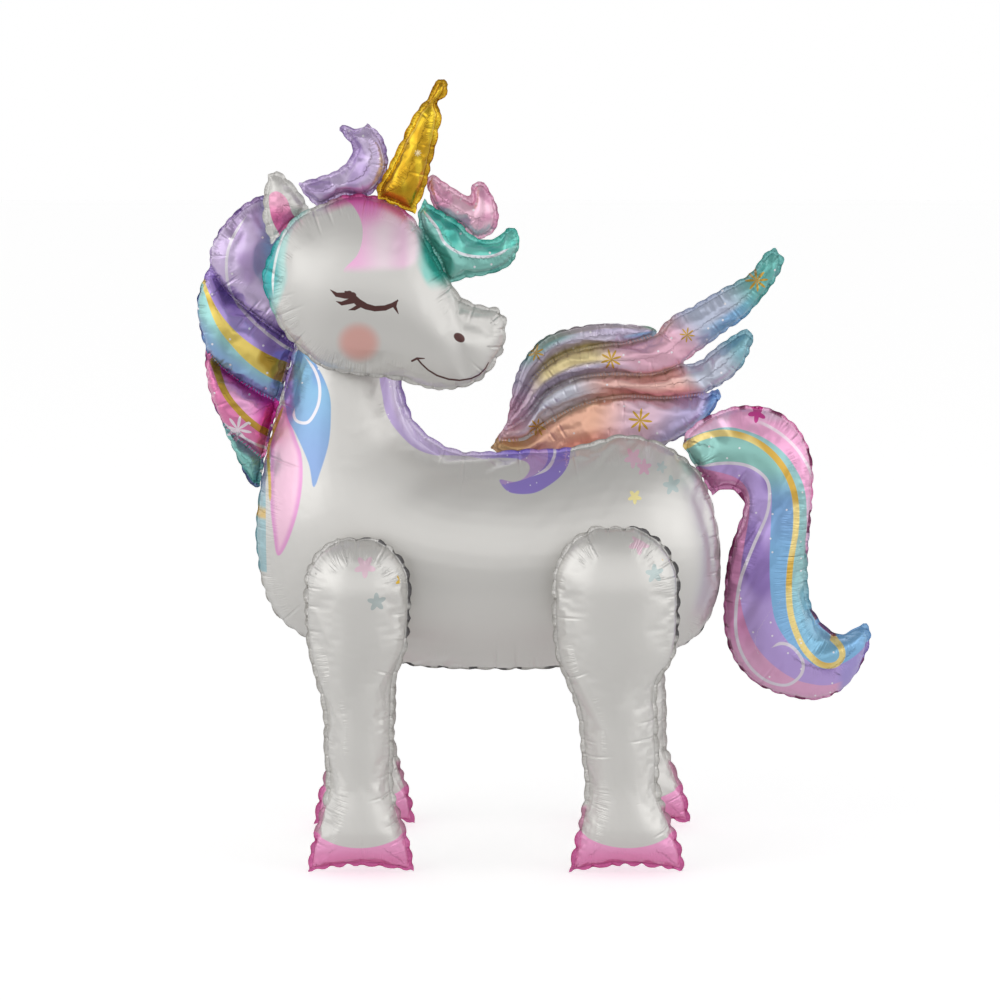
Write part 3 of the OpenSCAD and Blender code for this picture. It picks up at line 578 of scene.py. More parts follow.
def chamber(name, carrier, lobes, plump, seed, bulges, pinch=(20, 32),
            slack=(0.005, 0.07), deeper=(), sides=("near_panel", "far_panel")):
    """Cuts, blows up and seals one chamber, in the place of its two CAD panels."""
    nodes = [name + "_" + side for side in sides]
    near_low, near_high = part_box(nodes[0])
    far_low, far_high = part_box(nodes[1])
    plane = (near_high.y + far_low.y) / 2
    outline = fit(lobes, np.array([near_low.x, near_low.z]),
                  np.array([near_high.x, near_high.z]))
    lines = [closed(outline)]
    lines += [lobe.edges[1][:int(round(lobe.shares[1] * RIBS)) + 1] for lobe in lobes
              if lobe.shares[1]]
    pinches = Pinches(seed, lines, pinch[0] * MM, pinch[1] * MM, deeper)
    edge, edge_lift = pinches.draw_in(at(lines[0], pinches.split(outline)), 1.0)

    sheets = []
    for lobe in lobes:
        border = pinches.split(lobe.loop)
        sheets += [Sheet(lobe, border, side, bulge, plump, pinches)
                   for side, bulge in zip((-1, 1), bulges)]
    seals = [sheet.seal for sheet in sheets if sheet.side < 0]
    room = {-1: plane - near_low.y, 1: far_high.y - plane}
    rises = {s: room[s] / max(t.points[:, 2].max() for t in sheets if t.side == s)
             for s in room}
    placed, faces, borders, count = [], [], [], 0
    for sheet in sheets:
        here = sheet.stand(plane, rises[sheet.side])
        placed.append(here)
        faces += [tuple(count + i for i in f) for f in outward(sheet.faces, here, sheet.side)]
        borders.append((range(count, count + sheet.held), sheet.side))
        count += len(here)
    film = np.vstack(placed)
    film = crease_film(film, faces, np.concatenate([s.from_seal for s in sheets]), slack,
                       [i for border, _ in borders for i in border])
    ripple = np.array([RIPPLE * noise.noise(Vector((x / RIPPLE_SIZE, z / RIPPLE_SIZE,
                                                    seed * RIPPLE_SHIFT))) for x, z in edge])
    verts, rims = seal_up(film, faces, borders, edge, plane + edge_lift * EDGE_LIFT + ripple,
                          seal_strip(edge, seals))
    piece = make_mesh(name + "_film", verts, faces)
    piece.data.shade_smooth()
    keep_sharp(piece.data, [border for border, _ in borders] + rims)
    give_flow(piece.data, lobes)
    finish_film(piece)
    mark_seal(piece, seals)
    pinches.mark(piece)
    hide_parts(*nodes)
    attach(piece, carrier)
    return piece


def crease_film(film, faces, from_seal, slack, pinned):
    """The film as blown up: creased beside the seals, where it has width to spare, and less
    so in the middle of a lobe."""
    spare = slack[0] + slack[1] * np.clip(1 - from_seal / REACH, 0, 1)
    moved = blow_up(film, spare, faces, pinned) - film
    keep = KEPT_FAR + (1 - KEPT_FAR) * np.clip(1 - (from_seal - REACH) / REACH, 0, 1)
    moved *= keep[:, None]
    size = np.linalg.norm(moved, axis=1)
    creased = film + moved * np.minimum(1, MOST_MOVED / np.maximum(size, TINY))[:, None]
    creased[pinned] = film[pinned]
    return creased


def keep_sharp(mesh, loops):
    """Keeps the seals and the outer edge sharp when the film is subdivided."""
    sharp = {tuple(sorted((loop[i], loop[(i + 1) % len(loop)])))
             for loop in loops for i in range(len(loop))}
    crease = mesh.attributes.new("crease_edge", "FLOAT", "EDGE")
    crease.data.foreach_set("value", [float(tuple(sorted(e.vertices)) in sharp)
                                      for e in mesh.edges])


def give_flow(mesh, lobes):
    """A UV map that follows the film: U is the lobe's number plus the share along it, from
    root to tip, and V is the share across it."""
    n, m = FLOW_RIBS, FLOW_ARCS
    tris = grid_faces(n, m)
    marks = [Vector((i / n, j / m, 0)) for i in range(n + 1) for j in range(m + 1)]
    grids = []
    for lobe in lobes:
        a, b = (at(edge, np.linspace(0, len(edge) - 1, n + 1)) for edge in lobe.edges)
        spots = a[:, None] + (b - a)[:, None] * np.linspace(0, 1, m + 1)[None, :, None]
        flat = [Vector((x, 0, z)) for x, z in spots.reshape(-1, 2)]
        grids.append((BVHTree.FromPolygons(flat, tris, all_triangles=True), flat))

    def mark(k, x, z):
        """How far a spot is from a lobe, and its shares along and across it."""
        tree, flat = grids[k]
        spot, _, face, away = tree.find_nearest(Vector((x, 0, z)))
        t = tris[face]
        p = barycentric_transform(spot, *(flat[c] for c in t), *(marks[c] for c in t))
        return away, p.x, p.y

    co = places(mesh)
    known = {}
    values = np.zeros(len(mesh.loops) * 2)
    for poly in mesh.polygons:
        k = 0
        if len(lobes) > 1:
            x, _, z = co[list(poly.vertices)].mean(0)
            k = min(range(len(lobes)), key=lambda i: mark(i, x, z)[0])
        for loop, v in zip(poly.loop_indices, poly.vertices):
            if (k, v) not in known:
                _, u, w = mark(k, co[v, 0], co[v, 2])
                known[k, v] = (k + min(max(u, 0.0), 0.999), w)
            values[2 * loop:2 * loop + 2] = known[k, v]
    mesh.uv_layers.new(name="flow").data.foreach_set("uv", values)


def finish_film(piece):
    """Subdivides the film once."""
    smooth = piece.modifiers.new("smooth", "SUBSURF")
    smooth.levels = smooth.render_levels = 1
    smooth.use_limit_surface = False
    bpy.ops.object.select_all(action="DESELECT")
    piece.select_set(True)
    bpy.context.view_layer.objects.active = piece
    bpy.ops.object.modifier_apply(modifier="smooth")


def mark_seal(piece, seals):
    """Gives every point its distance inside the nearest seal line, and its place along it,
    in millimetres."""
    v = side_view(piece)
    least, run = np.full(len(v), 1e9), np.zeros(len(v))
    inside, gone = np.zeros(len(v), bool), 0.0
    for loop in seals:
        ring = closed(loop)
        reach = lengths(ring)
        far, stretch, share, _ = beside(v, ring)
        here = gone + reach[stretch] + share * np.diff(reach)[stretch]
        run = np.where(far < least, here, run)
        least = np.minimum(least, far)
        gone += reach[-1]
        inside |= in_loop(v, loop)
    give(piece, "seal", np.where(inside, least, -least) / MM, run / MM, np.zeros(len(v)))


def draw_on(piece, name, points, loop=False, reach=25):
    """Draws a smooth line on a piece, as seen from the side: every point of the piece gets
    its distance from the line in millimetres, positive to its left or inside a loop, the
    share along it, and a 1. Further off than reach it gets -reach and no 1."""
    p = np.array(points, float)
    if loop:
        n = len(p)
        p = along(np.vstack([p[-1:], p, p[:2]]), np.linspace(1, n + 1, 6 * n + 1) / (n + 2))
    else:
        p = along(p, np.linspace(0, 1, 6 * len(p)))
    spots = side_view(piece) / MM
    near = ((spots > p.min(0) - reach) & (spots < p.max(0) + reach)).all(1)
    least, stretch, share, side = beside(spots[near], p)
    if loop:
        side = np.where(in_loop(spots[near], p[:-1]), 1.0, -1.0)
    gap, run = np.full(len(spots), float(-reach)), np.zeros(len(spots))
    gap[near] = least * side
    run[near] = (stretch + share) / (len(p) - 1)
    give(piece, name, gap, run, near)


# ---- Outlines of the chambers, in millimetres, from root to tip ----------------------------

BODY_ROWS = [
    [[-312, 834], [-240, 836]], [[-334, 762], [-211, 768]], [[-353, 690], [-197, 702]],
    [[-375, 612], [-185, 646]], [[-393, 530], [-163, 604]], [[-401, 440], [-116, 576]],
    [[-378, 345], [-62, 573]], [[-305, 292], [-15, 576]], [[-190, 265], [30, 577]],
    [[-60, 258], [74, 585]], [[60, 262], [120, 597]], [[160, 274], [170, 588]],
    [[224, 302], [214, 562]], [[253, 345], [243, 524]], [[262, 395], [259, 460]]]
HEAD_ROWS = [
    [[-381, 834], [-380, 812]], [[-371, 858], [-368, 780]], [[-355, 886], [-352, 748]],
    [[-333, 911], [-330, 724]], [[-300, 927], [-300, 700]], [[-262, 941], [-262, 689]],
    [[-223, 939], [-224, 685]], [[-190, 926], [-190, 680]], [[-164, 900], [-165, 673]],
    [[-143, 863], [-140, 667]], [[-123, 826], [-114, 668]], [[-104, 799], [-92, 674]],
    [[-76, 787], [-72, 685]], [[-53, 783], [-57, 704]], [[-41, 768], [-44, 724]]]
HORN_ROWS = [
    [[-221, 934], [-169, 913]], [[-224, 948], [-161, 932]], [[-211, 972], [-152, 955]],
    [[-195, 1002], [-142, 996]], [[-181, 1031], [-134, 1030]], [[-167, 1056], [-131, 1052]],
    [[-153, 1072], [-137, 1065]], [[-147, 1081], [-125, 1076]], [[-143, 1093], [-121, 1089]],
    [[-136, 1099], [-127, 1100]]]
LILAC_ROWS = [
    [[-331, 956], [-323, 941]], [[-302, 964], [-301, 922]], [[-280, 972], [-268, 936]],
    [[-264, 983], [-238, 935]], [[-255, 997], [-217, 950]], [[-256, 1008], [-205, 976]],
    [[-264, 1018], [-206, 1001]], [[-273, 1029], [-215, 1023]], [[-267, 1038], [-233, 1039]]]
TEAL_ROWS = [
    [[-155, 935], [-165, 915]], [[-146, 926], [-163, 893]], [[-127, 914], [-150, 869]],
    [[-106, 900], [-135, 842]], [[-92, 885], [-124, 817]], [[-72, 877], [-98, 822]],
    [[-53, 882], [-70, 827]], [[-42, 893], [-46, 835]], [[-30, 893], [-31, 848]],
    [[-24, 882], [-24, 866]]]
PINK_ROWS = [
    [[-152, 963], [-152, 949]], [[-144, 968], [-141, 917]], [[-127, 957], [-124, 905]],
    [[-106, 943], [-105, 893]], [[-93, 937], [-85, 876]], [[-91, 951], [-60, 886]],
    [[-84, 958], [-52, 910]], [[-72, 957], [-58, 933]]]
EAR_ROWS = [
    [[-368, 870], [-314, 921]], [[-377, 893], [-323, 937]], [[-380, 913], [-335, 952]],
    [[-378, 942], [-347, 966]], [[-372, 968], [-360, 973]]]
TAIL_ROWS = [
    [[208, 580], [250, 509]], [[212, 599], [261, 516]], [[229, 615], [270, 518]],
    [[253, 628], [280, 516]], [[285, 638], [290, 508]], [[322, 637], [295, 495]],
    [[353, 624], [291, 478]], [[377, 599], [284, 456]], [[392, 562], [277, 437]],
    [[394, 510], [271, 405]], [[389, 445], [268, 370]], [[388, 390], [267, 338]],
    [[393, 354], [270, 310]], [[409, 326], [278, 283]], [[434, 310], [295, 256]],
    [[452, 317], [325, 232]], [[471, 326], [362, 219]], [[479, 306], [395, 214]],
    [[469, 272], [426, 221]], [[457, 250], [443, 234]]]

MANE_TOP = [[-349, 898], [-362, 924], [-384, 935], [-408, 925], [-432, 904]]
MANE_TIP = [[-432, 904], [-448, 884], [-459, 863]]
MANE_LINE_1 = [[-340, 721], [-371, 745], [-404, 771], [-438, 802], [-459, 837]]
MANE_LINE_2 = [[-363, 641], [-385, 651], [-409, 665], [-440, 688], [-467, 716]]
MANE_LINE_3 = [[-385, 558], [-398, 569], [-412, 581], [-428, 594], [-444, 611]]
MANE_LOW = [[-391, 520], [-398, 518], [-406, 524], [-416, 540], [-426, 565]]
MANE_LOW_TIP = [[-426, 565], [-432, 578], [-438, 591]]
WING_TOP = [[-40, 617], [-35, 648], [-28, 678], [-12, 706], [14, 731], [55, 745], [105, 750]]
WING_TOP_TIP = [[105, 750], [148, 747], [168, 744]]
WING_LINE_1 = [[-43, 605], [-24, 637], [2, 677], [38, 704], [85, 717], [130, 722], [172, 734]]
WING_LINE_2 = [[-50, 594], [-18, 612], [16, 650], [60, 671], [110, 677], [165, 677], [211, 692]]
WING_LINE_3 = [[-58, 583], [-18, 584], [20, 610], [70, 634], [125, 645], [185, 643], [243, 649]]
WING_LOW = [[-66, 570], [-34, 554], [10, 552], [60, 556], [110, 566], [150, 567], [184, 573]]
WING_TIP_1A = [[172, 734], [190, 757], [225, 776], [265, 799], [305, 822], [324, 848], [340, 859]]
WING_TIP_1B = [[211, 692], [238, 713], [268, 735], [298, 757], [322, 784], [345, 815], [355, 842]]
WING_TIP_2A = [[211, 692], [232, 696], [260, 718], [285, 735], [302, 743]]
WING_TIP_2B = [[243, 649], [263, 659], [287, 678], [303, 701], [313, 730]]
WING_TIP_3A = [[243, 649], [253, 655], [262, 657]]
WING_TIP_3B = [[184, 573], [236, 602], [266, 643]]


def leg_rows(x, height, top, waist, hoof, lean):
    """A round top, a waist and a wide hoof."""
    half, under = top / 2, height - top
    turns = [math.radians(a) for a in (22, 45, 68, 90)]
    rows = [(x, height - half + half * math.cos(a), half * math.sin(a)) for a in turns]
    rows += [(x, under, half * 0.95), (x - 0.02 * top, under * 0.84, waist * 0.59),
             (x + lean * 0.2, under * 0.70, waist * 0.52),
             (x + lean * 0.4, under * 0.54, waist * 0.51),
             (x + lean * 0.6, under * 0.39, waist * 0.49),
             (x + lean * 0.8, under * 0.26, waist * 0.25 + hoof * 0.22),
             (x + lean, under * 0.12, hoof * 0.465), (x + lean, 0, hoof / 2)]
    return [[[c - w, z], [c + w, z]] for c, z, w in rows]


MANE_LOBES = fan(
    [MANE_TOP, MANE_LINE_1, MANE_LINE_2, MANE_LINE_3, MANE_LOW],
    [(MANE_TIP, [[-459, 837], [-461, 842], [-462, 849]]),
     ([[-459, 837], [-470, 817], [-479, 790]], [[-467, 716], [-474, 737], [-478, 764]]),
     ([[-467, 716], [-469, 703], [-468, 684]], [[-444, 611], [-456, 633], [-464, 660]]),
     ([[-444, 611], [-444, 607], [-442, 602]], MANE_LOW_TIP)],
    [4 / 7] * 4)
WING_LOBES = fan(
    [WING_TOP, WING_LINE_1, WING_LINE_2, WING_LINE_3, WING_LOW],
    [(WING_TOP_TIP, [[172, 734], [174, 737], [175, 740]]), (WING_TIP_1A, WING_TIP_1B),
     (WING_TIP_2A, WING_TIP_2B), (WING_TIP_3A, WING_TIP_3B)],
    [6 / 8, 6 / 11, 6 / 9, 6 / 8])

# ---- The chambers: lobes, plumpness, seed, bulge to each side in metres, spacing of the
# ---- pinches in millimetres, slack of the film, and places with deeper pinches -----------

def leg(name, rows, seed, sides):
    """A leg, with deeper pinches at its hoof and its round top."""
    middle, top = rows[-1][0][0] + 80, rows[3][0][1]
    return chamber(name, "body", plain(rows, 9), 0.52, seed, (0.05, 0.05),
                   (17, 27), (0.002, 0.035), [(middle, 20, 120), (middle, top, 110)], sides)


body = chamber("body", "body", plain(BODY_ROWS), 0.46, 1, (0.128, 0.128))
FORE = leg_rows(-248, 477, 150, 97, 151, 3)
HIND = leg_rows(109, 494, 179, 108, 163, 17)
OUTER_NEAR = ("outer_panel", "inner_panel")
fore_near = leg("fore_leg_near", FORE, 11, OUTER_NEAR)
fore_far = leg("fore_leg_far", FORE, 12, OUTER_NEAR[::-1])
hind_near = leg("hind_leg_near", HIND, 13, OUTER_NEAR)
hind_far = leg("hind_leg_far", HIND, 14, OUTER_NEAR[::-1])
head = chamber("head", "head", plain(HEAD_ROWS), 0.40, 2, (0.092, 0.042),
               (17, 27), (0.003, 0.05), [(-60, 740, 62)])
mane = chamber("mane", "body", MANE_LOBES, 0.42, 3, (0.038, 0.038), (14, 22))
wing = chamber("wing", "wing", WING_LOBES, 0.50, 4, (0.030, 0.030), (14, 24))
tail = chamber("tail", "tail", plain(TAIL_ROWS), 0.40, 5, (0.046, 0.046), (16, 24))
horn = chamber("horn", "head", plain(HORN_ROWS), 0.42, 6, (0.024, 0.024),
               (16, 26), (0.001, 0.02))
lilac = chamber("lilac_forelock", "head", plain(LILAC_ROWS, 8), 0.42, 7,
                (0.022, 0.022), (12, 20))
pink = chamber("pink_forelock", "head", plain(PINK_ROWS), 0.42, 8,
               (0.022, 0.022), (12, 20))
teal = chamber("teal_forelock", "head", plain(TEAL_ROWS), 0.42, 9,
               (0.022, 0.022), (12, 20))
ear = chamber("ear", "head", plain(EAR_ROWS), 0.36, 10, (0.015, 0.015), (16, 26))

# ---- Drawn lines of the prints, in millimetres seen from the side -------------------------

draw_on(body, "ribbon", [
    (-217, 700), (-215, 652), (-208, 627), (-193, 605), (-171, 584), (-144, 572), (-110, 567),
    (-60, 564), (-20, 564), (-9, 555), (-17, 543), (-32, 538), (-52, 541), (-38, 525), (-7, 523),
    (17, 533), (38, 549), (48, 570), (46, 610), (-60, 620), (-150, 640), (-170, 720)], True)
draw_on(body, "ribbon_edge", [
    (-198, 700), (-197, 668), (-190, 640), (-170, 606), (-140, 585), (-100, 576), (-50, 575)])
draw_on(body, "curl_line", [(18, 590), (27, 572), (17, 555), (-7, 544)])
draw_on(body, "curl_inside", [(12, 590), (17, 565), (5, 551), (-17, 541), (-40, 536)])
draw_on(body, "blue_lock", [
    (-326, 720), (-303, 693), (-289, 661), (-287, 628), (-290, 593), (-301, 556), (-311, 533),
    (-318, 565), (-336, 603), (-350, 626), (-356, 660), (-350, 700)], True)
draw_on(body, "blue_lock_line", [
    (-326, 712), (-312, 696), (-304, 677), (-303, 656), (-308, 638), (-319, 622), (-333, 621),
    (-340, 628), (-339, 640)])
draw_on(body, "pink_lock", [
    (-356, 640), (-336, 597), (-328, 574), (-327, 539), (-334, 496), (-350, 450), (-364, 433),
    (-370, 468), (-374, 503), (-375, 560), (-372, 610)], True)
draw_on(body, "gold_thread", [(-356, 640), (-374, 595), (-379, 571), (-376, 536), (-375, 505)])
draw_on(body, "edge_print", [
    (-352, 680), (-366, 640), (-374, 600), (-381, 560), (-382, 520), (-381, 470), (-381, 404)],
    reach=60)

draw_on(head, "forehead", [
    (-285, 975), (-280, 944), (-256, 929), (-242, 908), (-239, 885), (-246, 861), (-265, 839),
    (-241, 835), (-195, 832), (-164, 847), (-142, 887), (-114, 932), (-150, 980)], True)
draw_on(head, "head_lock", [
    (-290, 960), (-308, 927), (-337, 892), (-345, 855), (-344, 824), (-358, 785), (-372, 740),
    (-420, 800), (-400, 900)], True)
draw_on(head, "head_lock_line", [(-337, 910), (-350, 885), (-358, 861), (-364, 829), (-364, 800)])
draw_on(ear, "ear_pink", [
    (-370, 938), (-358, 945), (-345, 934), (-338, 914), (-326, 892), (-345, 872), (-362, 896),
    (-368, 915)], True)
draw_on(teal, "teal_line", [
    (-160, 922), (-138, 895), (-128, 875), (-108, 861), (-82, 855), (-58, 857), (-38, 867)],
    reach=80)

draw_on(mane, "white_swirl", [
    (-405, 909), (-424, 880), (-434, 850), (-433, 810), (-420, 781), (-385, 746), (-350, 719),
    (-325, 706)], reach=60)
draw_on(mane, "gold_top", [(-466, 812), (-447, 775), (-420, 743), (-388, 719), (-335, 690)],
        reach=60)
draw_on(mane, "gold_low", [(-467, 800), (-449, 754), (-420, 716), (-388, 688), (-335, 655)],
        reach=60)
draw_on(mane, "gold_thread", [(-456, 702), (-451, 690), (-437, 657), (-413, 627), (-376, 595)],
        reach=60)
draw_on(mane, "silver_thread", [(-440, 613), (-413, 594), (-376, 573)], reach=60)

draw_on(tail, "yellow", [
    (195, 566), (215, 582), (232, 594), (261, 601), (290, 598), (319, 584), (342, 562),
    (359, 533), (367, 501), (367, 461), (360, 417), (358, 373), (363, 335), (379, 297),
    (402, 274), (423, 271), (434, 282), (432, 297), (421, 307)], reach=200)
draw_on(tail, "white_line", [
    (225, 550), (255, 558), (284, 559), (307, 552), (325, 536), (329, 513), (325, 484),
    (308, 443), (291, 396), (284, 350), (286, 306), (301, 271), (327, 247), (356, 241),
    (375, 256), (378, 277), (364, 297), (347, 303), (333, 296)], reach=200)
draw_on(tail, "pink_inside", [
    (225, 551), (261, 545), (285, 536), (299, 519), (302, 495), (297, 455), (291, 417),
    (289, 373), (298, 329), (315, 294), (344, 265), (379, 246), (417, 241), (452, 256),
    (480, 290)], reach=200)
draw_on(tail, "purple_blue", [
    (225, 550), (255, 558), (284, 559), (312, 547), (330, 527), (332, 490), (331, 461),
    (330, 417), (332, 373), (339, 335), (356, 306), (379, 283), (408, 266), (434, 272),
    (456, 285), (480, 305)], reach=200)
draw_on(tail, "pink_outside", [
    (190, 572), (204, 583), (232, 600), (261, 608), (284, 608), (319, 596), (348, 575),
    (368, 548), (380, 519), (384, 478), (384, 431), (392, 395)], reach=200)

# ---- Shader maths --------------------------------------------------------------------------

class Value:
    """A number, colour or vector that the nodes of a material work out."""

    def __init__(self, paint, socket):
        self.paint, self.socket = paint, socket

    def math(self, operation, *inputs):
        return self.paint.node("ShaderNodeMath", {"operation": operation}, inputs)

    def __add__(self, other):
        return self.math("ADD", self, other)

    def __sub__(self, other):
        return self.math("SUBTRACT", self, other)

    def __rsub__(self, other):
        return self.math("SUBTRACT", other, self)

    def __mul__(self, other):
        return self.math("MULTIPLY", self, other)

    def __truediv__(self, other):
        return self.math("DIVIDE", self, other)

    __radd__, __rmul__ = __add__, __mul__

    def size(self):
        return self.math("ABSOLUTE", self)

    def root(self):
        return self.math("SQRT", self)

    def least(self, other):
        return self.math("MINIMUM", self, other)

    def most(self, other):
        return self.math("MAXIMUM", self, other)

    def rise(self, low, high):
        """From 0 at low to 1 at high, smoothly; low may be the higher of the two."""
        return self.paint.node("ShaderNodeMapRange", {"interpolation_type": "SMOOTHSTEP"},
                               {0: self, 1: low, 2: high, 3: 0.0, 4: 1.0})


def ink(code):
    """A printed colour, written as it looks."""
    parts = [(code >> shift & 255) / 255 for shift in (16, 8, 0)]
    return (*(c / 12.92 if c < 0.04045 else ((c + 0.055) / 1.055) ** 2.4 for c in parts), 1.0)


class Paint:
    """The node tree of one material, or of the room when its tree is given."""

    def __init__(self, name, tree=None):
        self.material = None
        if tree is None:
            self.material = bpy.data.materials.new(name)
            self.material.use_nodes = True
            tree = self.material.node_tree
        self.tree = tree
        self.tree.nodes.clear()

    def node(self, kind, settings, inputs, output=0):
        made = self.tree.nodes.new(kind)
        for key, value in settings.items():
            setattr(made, key, value)
        for key, value in inputs.items() if isinstance(inputs, dict) else enumerate(inputs):
            if isinstance(value, Value):
                self.tree.links.new(value.socket, made.inputs[key])
            else:
                made.inputs[key].default_value = value
        return Value(self, made.outputs[output]) if len(made.outputs) else None

    def split(self, vector):
        made = self.node("ShaderNodeSeparateXYZ", {}, [vector])
        return [Value(self, made.socket.node.outputs[k]) for k in range(3)]

    def join(self, x, y, z=0.0):
        return self.node("ShaderNodeCombineXYZ", {}, [x, y, z])

    def place(self):
        """Where a point is on the object, in millimetres."""
        spot = self.node("ShaderNodeTexCoord", {}, [], "Object")
        return [c * 1000.0 for c in self.split(spot)]

    def flow(self):
        """The share along a lobe, with the lobe's number, and the share across it."""
        return self.split(self.node("ShaderNodeUVMap", {"uv_map": "flow"}, []))[:2]

    def drawn(self, name):
        """The distance from a drawn line, the share along it, and 1 where it is near."""
        return self.split(self.node("ShaderNodeAttribute", {"attribute_name": name}, [],
                                    "Vector"))

    def near(self, name):
        return self.drawn(name)[2].rise(0.95, 0.99)

    def noise(self, x, y, z, detail=1.0, rough=0.5):
        """Cloudy noise with patches about one unit across."""
        return self.node("ShaderNodeTexNoise", {}, {"Vector": self.join(x, y, z), "Scale": 1.0,
                                                    "Detail": detail, "Roughness": rough})

    def blotches(self, across, high, detail=1.0):
        """Cloudy noise over the object, with patches of these sizes in millimetres."""
        x, y, z = self.place()
        return self.noise(x / across, y / across, z / high, detail)

    def over(self, mask, below, above):
        below, above = (ink(c) if isinstance(c, int) else c for c in (below, above))
        return self.node("ShaderNodeMix", {"data_type": "RGBA"}, {0: mask, 6: below, 7: above}, 2)

    def coats(self, colour, *coats):
        """Prints coats over a colour, each through its mask."""
        for mask, coat in coats:
            colour = self.over(mask, colour, coat)
        return colour

    def lobes(self, flow, first, *others):
        """The first lobe's colour and the other lobes', each on its own lobe."""
        for k, colour in enumerate(others, 1):
            first = self.over(flow.rise(k - 0.0005, float(k)), first, colour)
        return first

    def inside(self, name, blur=0.5):
        return self.drawn(name)[0].rise(-blur, blur)

    def stroke(self, name, width, taper=0.0):
        """A thin line on a drawn one, which may thin out towards both ends."""
        d, share, _ = self.drawn(name)
        half = width / 2
        if taper:
            half = half * (share.rise(0.0, taper) * share.rise(1.0, 1.0 - taper))
        ends = share.rise(0.0, 0.002) * share.rise(1.0, 0.998) * self.near(name)
        return (d.size() - half).rise(0.4, -0.4) * ends

    def bar(self, x, z, a, b, width_a, width_b):
        """A short straight stroke from a to b."""
        dx, dz = b[0] - a[0], b[1] - a[1]
        h = (((x - a[0]) * dx + (z - a[1]) * dz) / (dx * dx + dz * dz)).most(0.0).least(1.0)
        ox, oz = x - a[0] - h * dx, z - a[1] - h * dz
        half = h * ((width_b - width_a) / 2) + width_a / 2
        return ((ox * ox + oz * oz).root() - half).rise(0.35, -0.35)

    def brush(self, x, z, stops):
        """A brush stroke through stops: x, z and the width there."""
        mask = None
        for (xa, za, wide_a), (xb, zb, wide_b) in zip(stops, stops[1:]):
            bar = self.bar(x, z, (xa, za), (xb, zb), wide_a, wide_b)
            mask = bar if mask is None else mask.most(bar)
        return mask

    def spot(self, x, z, centre, radius_x, radius_z, turn, blur):
        """An ellipse; blur is a share of its size."""
        c, s = math.cos(turn), math.sin(turn)
        dx, dz = x - centre[0], z - centre[1]
        u, v = (dx * c + dz * s) / radius_x, (dz * c - dx * s) / radius_z
        return (u * u + v * v).rise((1 + blur) ** 2, (1 - blur) ** 2)

    def star(self, x, z, centre, radius, turn, points, inner):
        """A star with straight or, where inner is small, drawn-out points."""
        dx, dz = x - centre[0], z - centre[1]
        far = (dx * dx + dz * dz).root()
        angle = dx.math("ARCTAN2", dz, dx) + turn
        wedge = 2 * math.pi / points
        beat = angle.math("PINGPONG", angle, wedge / 2) / (wedge / 2)
        return (far - (1.0 - beat.rise(0.0, 1.0) * (1 - inner)) * radius).rise(0.5, -0.5)

    def small_stars(self, x, z, colour, stars, mask=1.0):
        """Five-pointed stars: the place, radius, colour, turn and strength of each."""
        for centre, radius, tone, turn, strength in stars:
            star = self.star(x, z, centre, radius, turn, 5, 0.5)
            colour = self.over(star * mask * strength, colour, tone)
        return colour

    def sprinkle(self, x, z, colour, share, grid, radius):
        """Pale dots at a share of the places of a grid."""
        cells = self.node("ShaderNodeTexVoronoi", {"voronoi_dimensions": "2D"},
                          {"Vector": self.join(x / grid, z / grid), "Scale": 1.0,
                           "Randomness": 0.8})
        chosen = self.split(Value(self, cells.socket.node.outputs["Color"]))[0]
        dots = (cells - radius / grid).rise(0.3 / grid, -0.3 / grid) * chosen.rise(
            share, share - 0.01)
        return self.over(dots * 0.9, colour, 0xF6F2F6)

    def finish(self, height, **inputs):
        """Closes a material: its surface, with a relief whose height is in millimetres."""
        bump = self.node("ShaderNodeBump", {}, {"Strength": 1.0, "Distance": 0.001,
                                                "Height": height})
        named = {key.replace("_", " "): value for key, value in inputs.items()}
        shader = self.node("ShaderNodeBsdfPrincipled", {}, {**named, "Normal": bump})
        self.node("ShaderNodeOutputMaterial", {}, {0: shader})
        return self.material

    def film(self, colour, shade, metallic, rough, crease=1.0, grain=1.0, dark=0.3,
             plenty=0.60, seal_shading=0.03, fine=0.0, sheen=0.12, where=1.0):
        """Finishes a metallised film: painted shade in the colour shade over its seal and in a
        thin band just inside the seal line and, where that is said, dark painted reflections on
        the seal where it tilts away; its creases and hatching beside the seal; its satin gloss."""
        gap, run, _ = self.drawn("seal")
        x, y, z = self.place()
        flange = gap.rise(0.6, -0.6)
        # painted reflection: dark patches along the seal, where it tilts away
        dark_reflection_patches = self.noise(run / 26.0, 0.3, y / 400.0, 1.0, 0.4).rise(plenty, plenty + 0.05)
        # painted shade over the seal and a thin band inside it, then the dark painted reflections
        colour = self.coats(
            colour,
            (flange * seal_shading + gap.rise(2.5, 0.0) * 0.06, shade),
            (flange * gap.rise(-0.8, -2.5) * dark_reflection_patches * dark * where, shade))
        pleats = self.noise(run / 5.5, gap / 45.0, y / 60.0)
        beside_seal = gap.rise(22.0 * crease, 0.0) * gap.rise(-1.0, 1.0)
        zone = self.noise(run / 60.0, gap / 30.0, y / 90.0, 0.0).rise(0.56, 0.66)
        zone = (zone * gap.rise(34.0, 20.0) + fine).least(1.6) * gap.rise(1.0, 6.0)
        hatch = self.noise(run / 1.7, gap / 20.0, 0.5, 0.0) * zone
        aside, start, _ = self.drawn("crease")
        fold = aside.size().rise(CREASE_WIDTH, 0.0) * start.rise(0.0, 0.7) * self.near("crease")
        waves = self.noise(x / 70.0, y / 70.0, z / 110.0)
        print_grain = self.noise(run / 3.0, gap / 3.0, 2.0, 0.0) * flange
        height = (pleats * beside_seal * (0.4 + 0.8 * crease) + hatch * 0.8
                  + waves * 1.2 * grain - fold * crease * 1.25 + print_grain * 0.3)
        gloss = self.noise(x / 25.0, y / 25.0, z / 25.0, 2.0)
        return self.finish(height, Base_Color=colour, Metallic=metallic,
                           Roughness=gloss * 0.08 + (rough - 0.04), Coat_Weight=sheen,
                           Coat_Roughness=0.18)


